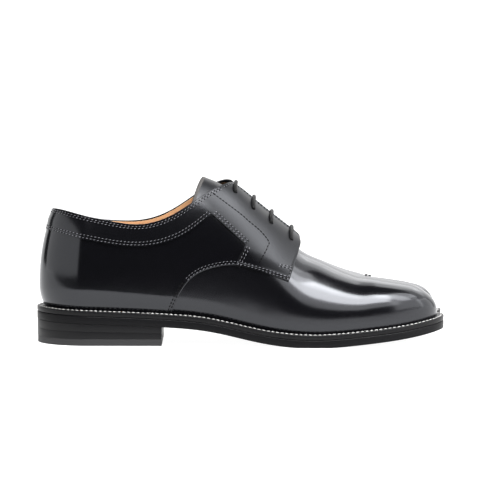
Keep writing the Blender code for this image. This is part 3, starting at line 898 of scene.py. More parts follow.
class ShoeSizes(bpy.types.PropertyGroup):
    """Sizes that a user may change."""

    thread: length_value("Thread", "Thickness of the upper's thread", 0.00044)
    stitch: length_value("Stitch", "Length of one stitch of the upper's seams", 0.0013)
    pitch: length_value("Pitch", "Distance from stitch to stitch of the upper's seams", 0.0027)
    welt_thread: length_value("Welt thread", "Thickness of the welt seam's thread", 0.00062)
    welt_stitch: length_value("Welt stitch", "Length of one stitch of the welt seam", 0.0024)
    welt_pitch: length_value("Welt pitch", "Distance from stitch to stitch of the welt seam", 0.0034)
    lace: length_value("Lace", "Thickness of the round lace", 0.0028)
    cut_edge: length_value("Cut edge", "Rounding of the cut edges of the leather", 0.0004)


class ShoeColours(bpy.types.PropertyGroup):
    """Colours and shine that a user may change."""

    leather: colour_value("Leather", "Colour of the upper", "#050507")
    shine: share_value("Shine", "Roughness of vamp and collar", 0.18)
    quarter_shine: share_value("Quarter shine", "Roughness of the quarters", 0.13)
    facing_shine: share_value("Facing shine", "Roughness of facings and tongue", 0.42)
    dull_gloss: share_value("Facing gloss", "Specular level of the facings", 0.34)
    wax: share_value("Wax", "Share of a clear wax coat", 0.2)
    lining: colour_value("Lining", "Colour of lining and insole", "#d9a97c")
    # Grey of the band at the tongue's end, a painted highlight of the light on its top edge
    tongue_end_highlight: colour_value("Tongue edge", "Colour of the fold at the tongue's end", "#3c3a39")
    sole_edge: colour_value("Sole edge", "Colour of sole, welt and heel edges", "#09090b")
    rubber: colour_value("Rubber", "Colour of the heel's top piece", "#1a1a1c")
    cord: colour_value("Cord", "Colour of the lace", "#0b0b0c")
    # Grey that paints the glints of the upper's black thread along its double rows
    thread: colour_value("Thread", "Colour of the upper's double rows", "#64646a")
    dark_thread: colour_value("Dark thread", "Colour of single rows, holes and raw edges", "#060607")
    # Pale grey that paints the highlights caught by the welt's stitches
    welt_thread: colour_value("Welt thread", "Colour of the welt seam", "#c9c8c6")


class ShoeStage(bpy.types.PropertyGroup):
    """Camera, floor and light."""

    distance: length_value("Distance", "From the camera to the shoe", 2.4)
    rise: FloatProperty(
        name="Rise", description="Angle of the camera above the floor", default=math.radians(5.2),
        subtype="ANGLE",
    )
    width: length_value("Width", "Width of the picture at the shoe", 0.35)
    aim: length_value("Aim", "Height that the camera looks at", 0.0732)
    floor: colour_value("Floor", "Colour of the paper sweep", "#969696")
    paper_glow: share_value("Paper glow", "Even light on the paper", 0.97)
    paper: length_value("Paper", "Width of the paper sweep", 4.0)
    front: length_value("Front", "Paper in front of the shoe", 0.305)
    lip: length_value("Lip", "Paper that falls away to the camera", 0.35)
    room: share_value("Room", "Brightness of the dim room around", 0.05)
    sky_light: power_value("Sky light", "Power of the box over the instep", 6.0)
    key_light: power_value("Key light", "Power of the bright box over the vamp", 21.3)
    toe_light: power_value("Toe light", "Power of the box before the toe", 7.5)
    heel_light: power_value("Heel light", "Power of the box behind the heel", 10.5)
    low_light: power_value("Low light", "Power of the dim box under the key", 2.8)
    fade_light: power_value("Fade light", "Power of the box beside the key", 3.5)
    side_light: power_value("Side light", "Power of the box past the toe", 6.9)
    back_light: power_value("Back light", "Power of the box behind the shoe", 5.2)
    edge_light: power_value("Edge light", "Power of the box past the instep", 6.5)


LAP = 7.0  # the vamp's lap under the quarters


def vamp_back(side):
    """Back edge of the vamp as (height share, x): a lap under the quarter, then the throat."""
    rows = []
    for x in (-49.5, -47.0, -44.0, -40.0, -35.0, -28.0, -20.0, -10.0):
        rows.append((max(seam_level(side, x), -0.9) + 0.05, x - LAP))
    last = rows[-1][0]
    rows += [(last + 0.12, 14.0), (last + 0.3, 27.0), (1.0, 31.0)]
    return rows


def between(rows, value):
    """Straight interpolation in a table of pairs, held at both ends."""
    if value <= rows[0][0]:
        return rows[0][1]
    for (a, first), (b, second) in zip(rows, rows[1:]):
        if value <= b:
            return first + (second - first) * (value - a) / (b - a)
    return rows[-1][1]


VAMP_LAP = 26  # columns over the instep
VAMP_SPLIT = 60  # columns along the split
VAMP_NOSE = 28  # columns round the tip
SPLIT_START = 84.0
LOW_ROWS = 12
HIGH_ROWS = 46
CLEFT_ROWS = 20
VAMP_WALL = 1.2
TOE_LEAN = 1.3
LEAN_FROM = 84.0
LEAN_TO = 124.0
LEAN_RUN = 14.0


def toe_lean(side, x, z):
    """How much higher the outer toe's crest lies, and the inner one's lower, behind the tips."""
    hip = seat(x) + FOOT + hip_line(x)
    share = min(max((z - hip) / (ridge_line(x) - hip), 0.0), 1.0)
    rise = ease((x - LEAN_FROM) / LEAN_RUN)
    return -side * TOE_LEAN * share * rise * (1.0 - ease((x - LEAN_TO) / LEAN_RUN))


def vamp_half(side):
    """Grid of one half of the vamp: rows go from the foot over the crest to the split."""
    back = vamp_back(side)
    end = tip(side, WELT_LEDGE)
    rows = [(-1.0 + j / LOW_ROWS, 0.0) for j in range(LOW_ROWS)]
    rows += [(j / HIGH_ROWS, 0.0) for j in range(HIGH_ROWS + 1)]
    rows += [(1.0, j / CLEFT_ROWS) for j in range(1, CLEFT_ROWS + 1)]
    grid = []
    for c in range(VAMP_LAP + VAMP_SPLIT + VAMP_NOSE + 1):
        line = []
        for q, turn in rows:
            if c <= VAMP_LAP:
                start = between(back, q)
                x = start + (SPLIT_START - start) * c / VAMP_LAP
            elif c <= VAMP_LAP + VAMP_SPLIT:
                x = SPLIT_START + (NOSE_X - SPLIT_START) * (c - VAMP_LAP) / VAMP_SPLIT
            else:
                round_share = (c - VAMP_LAP - VAMP_SPLIT) / VAMP_NOSE
                x = NOSE_X + (end - NOSE_X) * math.sin(round_share * math.pi / 2)
            if turn:
                x, y, z = toe_point(side, x, turn, 0.0, x < CLEFT_X - 1.0)
            else:
                x, y, z = skin(side, x, q)
            line.append((x, y, z + toe_lean(side, x, z)))
        grid.append(line)
    return grid


class SHOE_OT_vamp(bpy.types.Operator):
    """Draws the vamp with its split toe over the form"""

    bl_idname = "shoe.vamp"
    bl_label = "Vamp"

    def execute(self, context):
        points = []
        faces = []
        rows = LOW_ROWS + HIGH_ROWS + 1 + CLEFT_ROWS
        columns = VAMP_LAP + VAMP_SPLIT + VAMP_NOSE + 1
        starts = {}
        for side, _ in SIDES:
            starts[side] = len(points)
            for line in vamp_half(side):
                points += line
            for c in range(columns - 1):
                for j in range(rows - 1):
                    a = starts[side] + c * rows + j
                    faces.append((a, a + rows, a + rows + 1, a + 1))
        step = (NOSE_X - SPLIT_START) / VAMP_SPLIT
        first = VAMP_LAP + int((CLEFT_X - 1.0 - SPLIT_START) / step) - 1
        final = VAMP_LAP + int((CLEFT_X + CLEFT_RUN - SPLIT_START) / step)
        for c in range(first, final):
            a = starts[LATERAL] + c * rows + rows - 1
            b = starts[MEDIAL] + c * rows + rows - 1
            faces.append((a, a + rows, b + rows, b))
        calf = polished_leather("vamp_calf", context.scene.shoe_colours.shine)
        vamp = make("vamp", points, faces, calf)
        wall = vamp.modifiers.new("wall", "SOLIDIFY")
        wall.thickness = VAMP_WALL * MM
        wall.offset = -1.0
        apply_all(vamp)
        wear(vamp, "upper_leather", "upper")
        return {"FINISHED"}


QUARTER_ROWS = 46
QUARTER_FRONT = 30.0  # x to which the quarter runs under the facing


def quarter_columns(side):
    """Pairs of lower and upper ends of the quarter, its front hidden under the facing."""
    start = SEAM_LINE[0][0]
    stations = spread_of(BACK_SEAM + SEAM_HALF, start, 60)
    # Close together where the seam leaves the welt
    stations += [start + 0.06 * i * i + 0.05 * i for i in range(1, 11)]
    stations += spread_of(-41.5, QUARTER_FRONT, 46)
    columns = []
    for u in stations:
        over = 0.8 * min(max(u - INLAY_FOOT[0], 0.0), 14.0)
        low = level(side, u, seam_line(u) + over, -QUARTER_OUT) if over else seam_level(side, u)
        columns.append(((u, low), (u, top_level(side, u) - 0.006 - 0.02 * ease(over / 8.0)), 0.0, 0.0))
    return columns


def panel_grid(side, columns, rows, depth, power=1.0):
    """Points and outward normals of a panel.

    A column is its lower end, its upper end, how far it lies down at its foot and how far it bows
    forward. depth gives the depth for that lie and the distance from the foot. A power over 1 draws
    the rows together at the foot.
    """
    grid = []
    normals = []
    for low, high, down, bow in columns:
        run = (Vector(skin(side, *high, 0.0, True)) - Vector(skin(side, *low, 0.0, True))).length
        spots = []
        for j in range(rows + 1):
            t = (j / rows) ** power
            u = low[0] + (high[0] - low[0]) * t + bow * math.sin(math.pi * t)
            q = low[1] + (high[1] - low[1]) * t
            spots.append(place_on(side, u, q, depth(down, run * t)))
        grid.append([tuple(here) for here, _ in spots])
        normals.append([tuple(normal) for _, normal in spots])
    return grid, normals


def punch_eyelets(piece, side, raw_edge):
    """Cuts the four holes for the lace through a piece of leather, with raw walls."""
    punches = []
    for x, z in EYELETS:
        centre, normal = eyelet_frame(side, x, z, -FACING_OUT)
        bpy.ops.object.select_all(action="DESELECT")
        bpy.ops.mesh.primitive_cylinder_add(
            vertices=28,
            radius=EYELET * 0.5 * MM,
            depth=PUNCH * MM,
            location=metres([centre])[0],
            rotation=normal.to_track_quat("Z", "Y").to_euler(),
        )
        bpy.context.object.data.materials.append(raw_edge)
        punches.append(bpy.context.object)
    for cutter in punches:
        hole = piece.modifiers.new("eyelet", "BOOLEAN")
        hole.operation = "DIFFERENCE"
        hole.solver = "EXACT"
        hole.material_mode = "TRANSFER"
        hole.object = cutter
    bpy.ops.object.select_all(action="DESELECT")
    piece.select_set(True)
    apply_all(piece)
    bpy.ops.object.shade_smooth_by_angle(angle=math.radians(SMOOTH))
    for cutter in punches:
        bpy.data.objects.remove(cutter, do_unlink=True)


class SHOE_OT_quarters(bpy.types.Operator):
    """Lays the two quarters over the back of the form, down to the welt"""

    bl_idname = "shoe.quarters"
    bl_label = "Quarters"

    def execute(self, context):
        rounding = context.scene.shoe_sizes.cut_edge / MM
        raw_edge = dull_black("raw_leather_edge", 0.9)
        for side, word in SIDES:
            columns = quarter_columns(side)
            grid, normals = panel_grid(side, columns, QUARTER_ROWS, lambda down, run: -QUARTER_OUT)
            calf = polished_leather(f"quarter_calf_{word}", context.scene.shoe_colours.quarter_shine)
            name = f"quarter_{word}_leather"
            piece = shell(name, grid, QUARTER_OUT - 0.05, rounding, calf, -side, normals)
            punch_eyelets(piece, side, raw_edge)
            wear(piece, "upper_leather", f"quarter_{word}")
        return {"FINISHED"}


FACING_ROWS = 40
BAND_COLUMNS = 84
SLOPE_COLUMNS = 26
RETURN_COLUMNS = 14
SEAM_COLUMNS = 30
FRONT_COLUMNS = 9
FACING_WALL = 1.3
FACING_SINK = FACING_OUT - FACING_WALL - 0.3  # how far a foot that lies down sinks
FACING_LIE = 9.0  # run from the foot over which it lies down
BEAD = 0.32  # height of the bead between the two rows at the foot
BEAD_AT = 1.9
BEAD_HALF = 0.6
BAND_LIE = 0.78  # share of the full lie at the heel's back
FRONT_RUN = 7.6  # x from the front corner to where the front edge rounds over
FRONT_BOW = 1.3
# Where the columns' upper ends start on slope, return, seam and front, and how far they run
TOP_RUNS = ((-14.0, 38.0), (24.0, 9.0), (33.0, 5.6), (38.6, 4.0))


def facing_depth(down, run):
    """Depth of the facing's face at a distance from its foot, where it lies down on the vamp."""
    bead = BEAD * math.exp(-(((run - BEAD_AT) / BEAD_HALF) ** 2)) * ease(down - 0.1)
    return -FACING_OUT + FACING_SINK * down * (1.0 - ease(run / FACING_LIE)) - bead


def band_down(u):
    """How far the collar band's edge lies down on the quarters at the heel's back."""
    return BAND_LIE * ease((HEEL_WIDE - 8.0 - u) / 22.0)


def corner_run(first, last, count):
    """Shares, x and height of the steps from one corner to another, without the first."""
    return [
        (t, first[0] + (last[0] - first[0]) * t, first[1] + (last[1] - first[1]) * t)
        for t in spread_of(0.0, 1.0, count)[1:]
    ]


def facing_columns(side):
    """Columns of the collar and facing piece, from the back seam to its rounded front corner."""
    columns = []

    def add(u, q, over, down, bow=0.0):
        columns.append(((u, q), (over, front_top(side, over)), down, bow))

    for u in spread_of(BACK_SEAM + SEAM_HALF, INLAY_BACK[0], BAND_COLUMNS):
        share = max(0.0, (u - HEEL_WIDE) / (INLAY_BACK[0] - HEEL_WIDE))
        add(u, level(side, u, band_line(u), -FACING_OUT), u + 6.5 * share**3, band_down(u))
    slope, turned, seam, front = TOP_RUNS
    for t, u, z in corner_run(INLAY_BACK, INLAY_FRONT, SLOPE_COLUMNS):
        add(u, level(side, u, z, -FACING_OUT), slope[0] + slope[1] * t, 0.0)
    for t, u, z in corner_run(INLAY_FRONT, INLAY_FOOT, RETURN_COLUMNS):
        add(u, level(side, u, z, -FACING_OUT), turned[0] + turned[1] * t, ease((t - 0.6) / 0.4))
    for t, u, _ in corner_run(INLAY_FOOT, FRONT_LINE[0], SEAM_COLUMNS):
        add(u, seam_level(side, u), seam[0] + seam[1] * t, 1.0)
    for t in spread_of(0.0, 1.0, FRONT_COLUMNS)[1:]:
        u = FRONT_LINE[0][0] + FRONT_RUN * t
        add(u, seam_level(side, u), front[0] + front[1] * t, 1.0 - 0.9 * ease(t), FRONT_BOW * t * t)
    return columns


class SHOE_OT_facings(bpy.types.Operator):
    """Lays the two collar and facing pieces over the quarters and punches their eyelets"""

    bl_idname = "shoe.facings"
    bl_label = "Facings"

    def execute(self, context):
        rounding = context.scene.shoe_sizes.cut_edge / MM
        look = context.scene.shoe_colours
        raw_edge = dull_black("raw_leather_edge", 0.9)
        for side, word in SIDES:
            grid, normals = panel_grid(side, facing_columns(side), FACING_ROWS, facing_depth, 1.6)
            calf = polished_leather(f"facing_calf_{word}", look.shine, look.facing_shine)
            piece = shell(f"facing_{word}_leather", grid, FACING_WALL, rounding, calf, -side, normals)
            punch_eyelets(piece, side, raw_edge)
            wear(piece, "upper_leather", f"facing_{word}")
        return {"FINISHED"}


LINING_WALL = 1.3
LINING_ROUND = 0.35
LINING_COLUMNS = 90
LINING_ROWS = 40
TONGUE_WALL = 3.0
TONGUE_ROUND = 1.1
TONGUE_FOOT = 46.0
TONGUE_END = -27.8
TONGUE_BOW = 9.0  # how far the end is drawn back at its sides
TONGUE_COLUMNS = 60
TONGUE_ROWS = 48
LIT_BAND = 2.0  # width of the lighter band at the tongue's end, a painted highlight of its lit top edge


class SHOE_OT_lining(bpy.types.Operator):
    """Lines the inside of the upper up to the collar"""

    bl_idname = "shoe.lining"
    bl_label = "Lining"

    def execute(self, context):
        run = spread_of(BACK_SEAM, CORNER_X, LINING_COLUMNS)
        stations = [(LATERAL, u) for u in reversed(run)] + [(MEDIAL, u) for u in run[1:]]
        grid = []
        for side, u in stations:
            # The lining stops below the eyelets, and lies behind the wall past the heel
            top = top_level(side, u) - 0.008 - 0.4 * ease((u + 12.0) / 11.0)
            sunk = 0.05 + 1.25 * ease((u + 82.0) / 14.0) * ease((0.9 - top) / 0.1 + 1.0)
            grid.append([skin(side, u, q, sunk) for q in spread_of(-1.0, top, LINING_ROWS)])
        piece = shell("lining", grid, LINING_WALL, LINING_ROUND, lining_leather(), -1.0)
        wear(piece, "insole_leather")
        return {"FINISHED"}


class SHOE_OT_tongue(bpy.types.Operator):
    """Lays the tongue under the facings"""

    bl_idname = "shoe.tongue"
    bl_label = "Tongue"

    def execute(self, context):
        grid = []
        for x in spread_of(TONGUE_FOOT, TONGUE_END, TONGUE_COLUMNS):
            middle = cleft_y(x)
            line = []
            for s in spread_of(-1.0, 1.0, TONGUE_ROWS):
                side = LATERAL if s < 0 else MEDIAL
                wide = abs(section(side, x, 0.0, WALL + 0.6)[0] - middle)
                half = min(21.0 + 5.0 * ease((TONGUE_FOOT - x) / 60.0), 0.8 * wide)
                hip = seat(x) + FOOT + hip_line(x)
                power = full_line(x)
                drop = (1.0 - (half * abs(s) / wide) ** power) ** (1.0 / power)
                z = hip + (tongue_line(x) - hip) * drop
                line.append((x - TONGUE_BOW * s * s * ease(-x / 27.0), middle + s * half, z))
            grid.append(line)
        shine = context.scene.shoe_colours.facing_shine
        calf = polished_leather("tongue_calf", shine, shine)
        piece = shell("tongue_leather", grid, TONGUE_WALL, TONGUE_ROUND, calf, -1.0)
        # The faces along the tongue's end get a lighter grey: a painted highlight of its lit top edge
        piece.data.materials.append(folded_lining_edge())
        end = Vector(grid[-1][TONGUE_ROWS // 2])
        half = abs(grid[-1][0][1] - end.y)
        for face in piece.data.polygons:
            x, y = face.center.x / MM, face.center.y / MM + SHIFT_Y
            share = (y - end.y) / half
            if x < end.x - TONGUE_BOW * share * share + LIT_BAND:
                face.material_index = 1
        wear(piece, "tongue_leather", "tongue")
        return {"FINISHED"}


WELT_ROUND = 0.6


def outsole_top(x):
    """Upper face of the outsole."""
    return sole_line(x) + OUTSOLE


def welt_foot(x):
    """Lower face of the welt, a little above the outsole."""
    return sole_line(x) + OUTSOLE + 0.15


class SHOE_OT_sole(bpy.types.Operator):
    """Builds outsole, welt and insole along the sole line"""

    bl_idname = "shoe.sole"
    bl_label = "Sole"

    def execute(self, context):
        plan, caps = plan_loop(*OUTER_PLAN)
        edge_black = dressed_edge("sole_edge_dressing", 0.42, 1.2, 0.13)
        outsole = slab("outsole_leather", plan, caps, tread, outsole_top, 0.7, edge_black)
        wear(outsole, "sole_leather", "outsole")
        inner, _ = plan_loop(*INNER_PLAN)
        points = [(x, y, seat(x)) for x, y in inner]
        points += edge_rings(plan, welt_foot, seat, WELT_ROUND)
        points += [(x, y, welt_foot(x)) for x, y in inner]
        faces = ring_faces(len(plan), len(points) // len(plan), True)
        welt = make("welt_leather", points, faces, dressed_edge("welt_dressing", 0.36, 1.2, 0.2))
        wear(welt, "welt_leather", "welt")
        plan, caps = plan_loop(*INSOLE_PLAN)
        low, high = (lambda x: seat(x) + 0.2), (lambda x: seat(x) + 2.2)
        insole = slab("insole_sock", plan, caps, low, high, 0.4, lining_leather())
        wear(insole, "insole_leather", "insole")
        return {"FINISHED"}


HEEL_COLUMNS = 18
BREAST_COLUMNS = 20


def lift_seam(x):
    """Joint between the two lifts of the heel."""
    return TOP_PIECE + 0.3 + 0.5 * (tread(x) - TOP_PIECE - 0.9)


class SHOE_OT_heel(bpy.types.Operator):
    """Stacks the heel from its top piece and two lifts"""

    bl_idname = "shoe.heel"
    bl_label = "Heel"

    def execute(self, context):
        layers = (
            # node, stuff, slot, inset, lower face, upper face
            ("heel_top_piece", "rubber", "heel_rubber", 0.5, lambda x: 0.0, lambda x: TOP_PIECE),
            ("heel_lift_lower", "leather", "sole_leather", 0.3, lambda x: TOP_PIECE + GLUE, lift_seam),
            (
                "heel_lift_upper", "leather", "sole_leather", 0.2,
                lambda x: lift_seam(x) + GLUE, lambda x: tread(x) - GLUE,
            ),
        )
        stacked = dressed_edge("heel_stack_dressing", 0.4, 2.2, 0.22)
        for node, stuff, slot, inset, low, high in layers:
            stations = body_columns(inset, HEEL_BREAST, HEEL_COLUMNS)
            near = [(x, edge(LATERAL, x, inset)) for x in stations[1:]]
            far = [(x, edge(MEDIAL, x, inset)) for x in reversed(stations[1:])]
            across = spread_of(near[-1][1], far[0][1], BREAST_COLUMNS)[1:-1]
            breast = [(HEEL_BREAST, y) for y in across]
            plan = [(stations[0], 0.0)] + near + breast + far
            total = len(plan)
            caps = [(0, 1, total - 1)]
            for k in range(1, len(near) - 1):
                caps.append((k, k + 1, total - k - 1, total - k))
            caps.append(tuple(range(len(near) - 1, len(near) + BREAST_COLUMNS + 2)))
            finish = heel_rubber() if stuff == "rubber" else stacked
            piece = slab(f"{node}_{stuff}", plan, caps, low, high, 0.1, finish)
            wear(piece, slot, node)
        return {"FINISHED"}


def smooth_path(knots, per_span):
    """Points of a rounded path through the knots."""
    path = []
    for i in range(len(knots) - 1):
        a = knots[max(i - 1, 0)]
        b, c = knots[i], knots[i + 1]
        d = knots[min(i + 2, len(knots) - 1)]
        slope, bend, twist = c - a, 2 * a - 5 * b + 4 * c - d, 3 * b - a - 3 * c + d
        for k in range(per_span):
            t = k / per_span
            path.append(0.5 * (2 * b + slope * t + bend * t * t + twist * t**3))
    return path + [knots[-1]]


def tube(name, path, radius, sides, material):
    """Round cord along a path, with its length and turn kept in a UV layer called weave."""
    points = []
    along = []
    first = (path[1] - path[0]).orthogonal().normalized()
    length = 0.0
    for i, point in enumerate(path):
        ahead = (path[min(i + 1, len(path) - 1)] - path[max(i - 1, 0)]).normalized()
        first = (first - ahead * first.dot(ahead)).normalized()
        second = ahead.cross(first)
        if i:
            length += (point - path[i - 1]).length
        for k in range(sides + 1):
            a = 2.0 * math.pi * k / sides
            if k < sides:
                points.append(tuple(point + (first * math.cos(a) + second * math.sin(a)) * radius))
            along.append((length, k / sides))
    faces = []
    spots = []
    for i in range(len(path) - 1):
        for k in range(sides):
            a = i * sides + k
            b = i * sides + (k + 1) % sides
            faces.append((a, b, b + sides, a + sides))
            at = i * (sides + 1) + k
            spots += [along[at], along[at + 1], along[at + sides + 2], along[at + sides + 1]]
    item = new_object(name, points, faces, material)
    layer = item.data.uv_layers.new(name="weave")
    girth = 2.0 * math.pi * radius
    for spot, (far, turn) in zip(layer.data, spots):
        spot.uv = (far, turn * girth)
    bpy.ops.object.mode_set(mode="EDIT")
    bpy.ops.mesh.select_all(action="SELECT")
    bpy.ops.mesh.normals_make_consistent(inside=False)
    bpy.ops.mesh.select_mode(type="EDGE")
    bpy.ops.mesh.select_all(action="DESELECT")
    bpy.ops.mesh.select_non_manifold()
    bpy.ops.mesh.edge_face_add()
    bpy.ops.object.mode_set(mode="OBJECT")
    bpy.ops.object.shade_smooth_by_angle(angle=math.radians(50.0))
    return item


LACE_SIDES = 14
LACE_STEPS = 10  # points of the path from knot to knot
LACE_RISE = 0.7  # how far the cord leans on the upper side of its eyelet
LACE_ARCH = 0.25  # rise of a bar in its middle


def lace_knots(side, x, z, radius):
    """From under the facing, up through an eyelet and over the leather to the facing's edge."""
    centre, normal = eyelet_frame(side, x, z, -FACING_OUT)
    top = top_level(side, x)
    q = level(side, x, z, -FACING_OUT)
    above = -(FACING_OUT + radius * 0.92)
    shares = (0.3, 0.65, 0.97)
    over = [Vector(skin(side, x + 0.6 * t, q + (top - q) * t, above, True)) for t in shares]
    lean = centre + (over[0] - centre).normalized() * LACE_RISE
    return [centre - normal * 5.5, lean - normal * 2.0, lean + normal * 0.3] + over


class SHOE_OT_lace(bpy.types.Operator):
    """Threads the lace in straight bars through the eyelets"""

    bl_idname = "shoe.lace"
    bl_label = "Lace"

    def execute(self, context):
        radius = context.scene.shoe_sizes.lace * 0.5 / MM
        knots = []
        for number, (x, z) in enumerate(EYELETS):
            near = lace_knots(LATERAL, x, z, radius)
            far = lace_knots(MEDIAL, x, z, radius)
            middle = (near[-1] + far[-1]) * 0.5 + UP * LACE_ARCH
            bar = near + [middle] + far[::-1]
            if number % 2:
                bar.reverse()
            knots += bar
        piece = tube("lace", smooth_path(knots, LACE_STEPS), radius, LACE_SIDES, waxed_cord())
        wear(piece, "lace_cord", *[f"lace_bar_{k}" for k in range(1, len(EYELETS) + 1)])
        return {"FINISHED"}


def on_form(side, u, z, depth):
    """Point of the lifted form above u at a height."""
    return Vector(skin(side, u, level(side, u, z, depth), depth, True))


def offset_row(side, curve, inward, deep):
    """Points and normals of a line on the form, moved across the leather from a curve of (u, height).

    inward is positive to the left of the curve's run as seen from outside. deep is the depth or
    gives it for u.
    """
    row = []
    for i, (u, z) in enumerate(curve):
        depth = deep(u) if callable(deep) else deep
        here, normal = place_on(side, u, level(side, u, z, depth), depth)
        before = on_form(side, *curve[max(i - 1, 0)], depth)
        after = on_form(side, *curve[min(i + 1, len(curve) - 1)], depth)
        aim = normal.cross((after - before).normalized()) * inward
        du = (on_form(side, u + 0.3, z, depth) - here) / 0.3
        dz = (here - on_form(side, u, z - 0.3, depth)) / 0.3
        a, b, c = du.dot(du), du.dot(dz), dz.dot(dz)
        e, f = aim.dot(du), aim.dot(dz)
        size = a * c - b * b
        shift_u = (e * c - f * b) / size
        shift_z = (a * f - b * e) / size
        row.append(place_on(side, u + shift_u, level(side, u + shift_u, z + shift_z, depth), depth))
    return row


def sew(rows, length, pitch, thread, name, material, sink=0.25, shift=0.0, lean=0.0):
    """One mesh of stitches laid along rows of (point, normal); sizes in millimetres.

    sink is the share of the thread below the face, shift moves the stitches on by a share of the
    pitch, and lean turns each one across its row.
    """
    bpy.ops.object.select_all(action="DESELECT")
    lying = (0.0, math.pi / 2, 0.0)
    bpy.ops.mesh.primitive_uv_sphere_add(segments=8, ring_count=6, radius=1.0, rotation=lying)
    bpy.ops.object.transform_apply(location=False, rotation=True, scale=False)
    model = bpy.context.object.data
    corners = np.array([tuple(v.co) for v in model.vertices])
    faces = [tuple(p.vertices) for p in model.polygons]
    bpy.data.objects.remove(bpy.context.object, do_unlink=True)
    bpy.data.meshes.remove(model)
    corners = corners * (length * 0.5, thread * 0.5, thread * 0.5)
    points = []
    all_faces = []
    for row in rows:
        spots = np.array([tuple(p) for p, _ in row])
        ups = np.array([tuple(n) for _, n in row])
        far = np.concatenate(([0.0], np.cumsum(np.linalg.norm(np.diff(spots, axis=0), axis=1))))
        for place in np.arange(pitch * (0.5 + shift), far[-1], pitch):
            start, middle, end = (
                np.array([np.interp(place + step, far, spots[:, k]) for k in range(3)])
                for step in (-length * 0.5, 0.0, length * 0.5)
            )
            up = unit(np.array([np.interp(place, far, ups[:, k]) for k in range(3)]))
            ahead = unit(end - start)
            side = unit(np.cross(up, ahead))
            up = np.cross(ahead, side)
            ahead, side = ahead + lean * side, side - lean * ahead
            base = len(points)
            centre = (start + end) * 0.25 + middle * 0.5 + up * thread * (0.5 - sink)
            points += list(corners @ np.stack((ahead, side, up)) + centre)
            all_faces += [tuple(i + base for i in face) for face in faces]
    return make(name, points, all_faces, material, 80.0)


# Single row on the facing, from the collar to the seam
FACING_ROW = (
    # x, height
    (-19.6, 109.5),
    (-0.2, 95.3),
    (5.6, 90.2),
    (13.5, 83.7),
    (18.7, 78.0),
    (20.8, 74.3),
    (19.8, 72.1),
    (17.3, 67.0),
    (13.5, 60.4),
)

# Short doubled rows that hold the facing's front corner
BAR_TACKS = (
    # x, height of both ends
    ((26.8, 58.4), (36.2, 56.1)),
    ((27.3, 59.6), (36.6, 57.4)),
)

# Distances of the rows from the edges they follow
COLLAR_GAPS = (1.8, 3.3)
THROAT_GAP_ROW = 2.2
BAND_GAPS = (1.2, 3.2)
SEAM_GAPS = (1.1, 2.7)
FRONT_GAP = 1.5
TACK_GAP = 7.0
COLLAR_END = -14.0  # x where the collar's two rows stop and the throat's one goes on
DARK_BELOW = 46.0  # height below which the quarter's seam is sewn in black thread alone; above it the rows get the grey thread that paints their glints
SPLIT_ROOT = (91.0, 94.0, 97.0)  # x of the tack that holds the split's root
SPLIT_TACK = (2.4, 2.6, 1.1)  # length, pitch and thickness of its stitches
LEAN = 0.3  # turn of the light stitches across their row


def drawn(rows, count):
    """Finely divided curve through rows of x and height."""
    return [(p.x, p.y) for p in smooth_path([Vector((x, z, 0.0)) for x, z in rows], count)]


class SHOE_OT_seams(bpy.types.Operator):
    """Sews the rows of stitches on the upper"""

    bl_idname = "shoe.seams"
    bl_label = "Seams"

    def execute(self, context):
        sizes = context.scene.shoe_sizes
        look = context.scene.shoe_colours
        double = []
        single = []
        for side, _ in SIDES:
            left = -side
            top = []
            for u in spread_of(BACK_SEAM + 0.6, CORNER_X, 150):
                top.append((u, skin(side, u, front_top(side, u), -FACING_OUT, True)[2]))
            collar = [p for p in top if p[0] < COLLAR_END]
            throat = [p for p in top if p[0] >= COLLAR_END]
            double += [offset_row(side, collar, -gap * left, -FACING_OUT) for gap in COLLAR_GAPS]
            double.append(offset_row(side, throat, -THROAT_GAP_ROW * left, -FACING_OUT))
            band = [(u, band_line(u)) for u in spread_of(BACK_SEAM + 0.6, INLAY_BACK[0], 110)]
            slope = drawn((INLAY_BACK, INLAY_FRONT), 30)
            turned = drawn((INLAY_FRONT, INLAY_FOOT), 16)
            for gap in BAND_GAPS:
                lie = lambda u: facing_depth(band_down(u), gap)
                double.append(offset_row(side, band, gap * left, lie))
                double += [offset_row(side, curve, gap * left, -FACING_OUT) for curve in (slope, turned)]
            seam = drawn([p for p in SEAM_LINE if p[0] < 0.0] + [INLAY_FOOT], 12)
            rise = [p for p in seam if p[1] < DARK_BELOW]
            seam = [p for p in seam if p[1] >= DARK_BELOW]
            foot = drawn([INLAY_FOOT] + [p for p in SEAM_LINE if p[0] > 0.0], 12)
            for gap in SEAM_GAPS:
                double.append(offset_row(side, seam, gap * left, -QUARTER_OUT))
                single.append(offset_row(side, rise, gap * left, -QUARTER_OUT))
                double.append(offset_row(side, foot, gap * left, facing_depth(1.0, gap)))
            front = drawn(FRONT_LINE[:3], 12)
            double.append(offset_row(side, front, FRONT_GAP * left, facing_depth(0.7, FRONT_GAP)))
            lie = facing_depth(1.0, TACK_GAP)
            double += [offset_row(side, drawn(tack, 6), 0.0, lie) for tack in BAR_TACKS]
            single.append(offset_row(side, drawn(FACING_ROW, 12), 0.0, -FACING_OUT))
        root = [(Vector((x, cleft_y(x), ridge_line(x) + 0.7)), UP) for x in SPLIT_ROOT]
        stitch, pitch, thread = (v / MM for v in (sizes.stitch, sizes.pitch, sizes.thread))
        # The double rows get a grey thread that paints the glints of the black thread; single rows, tack
        # and holes stay black
        glint_thread = sewing_thread("silky_thread", look.thread, 0.3)
        dark = dull_black("black_thread", 0.8)
        pieces = (
            sew(double, stitch, pitch, thread, "double_stitches", glint_thread, lean=LEAN),
            sew(single, pitch * 0.7, pitch, thread * 1.9, "single_stitches", dark),
            sew([root], *SPLIT_TACK, "split_tack", dark),
            sew(double, pitch - stitch, pitch, thread * 1.7, "stitch_holes", dark, 0.4, 0.5),
        )
        for piece in pieces:
            wear(piece, "upper_leather")
        return {"FINISHED"}


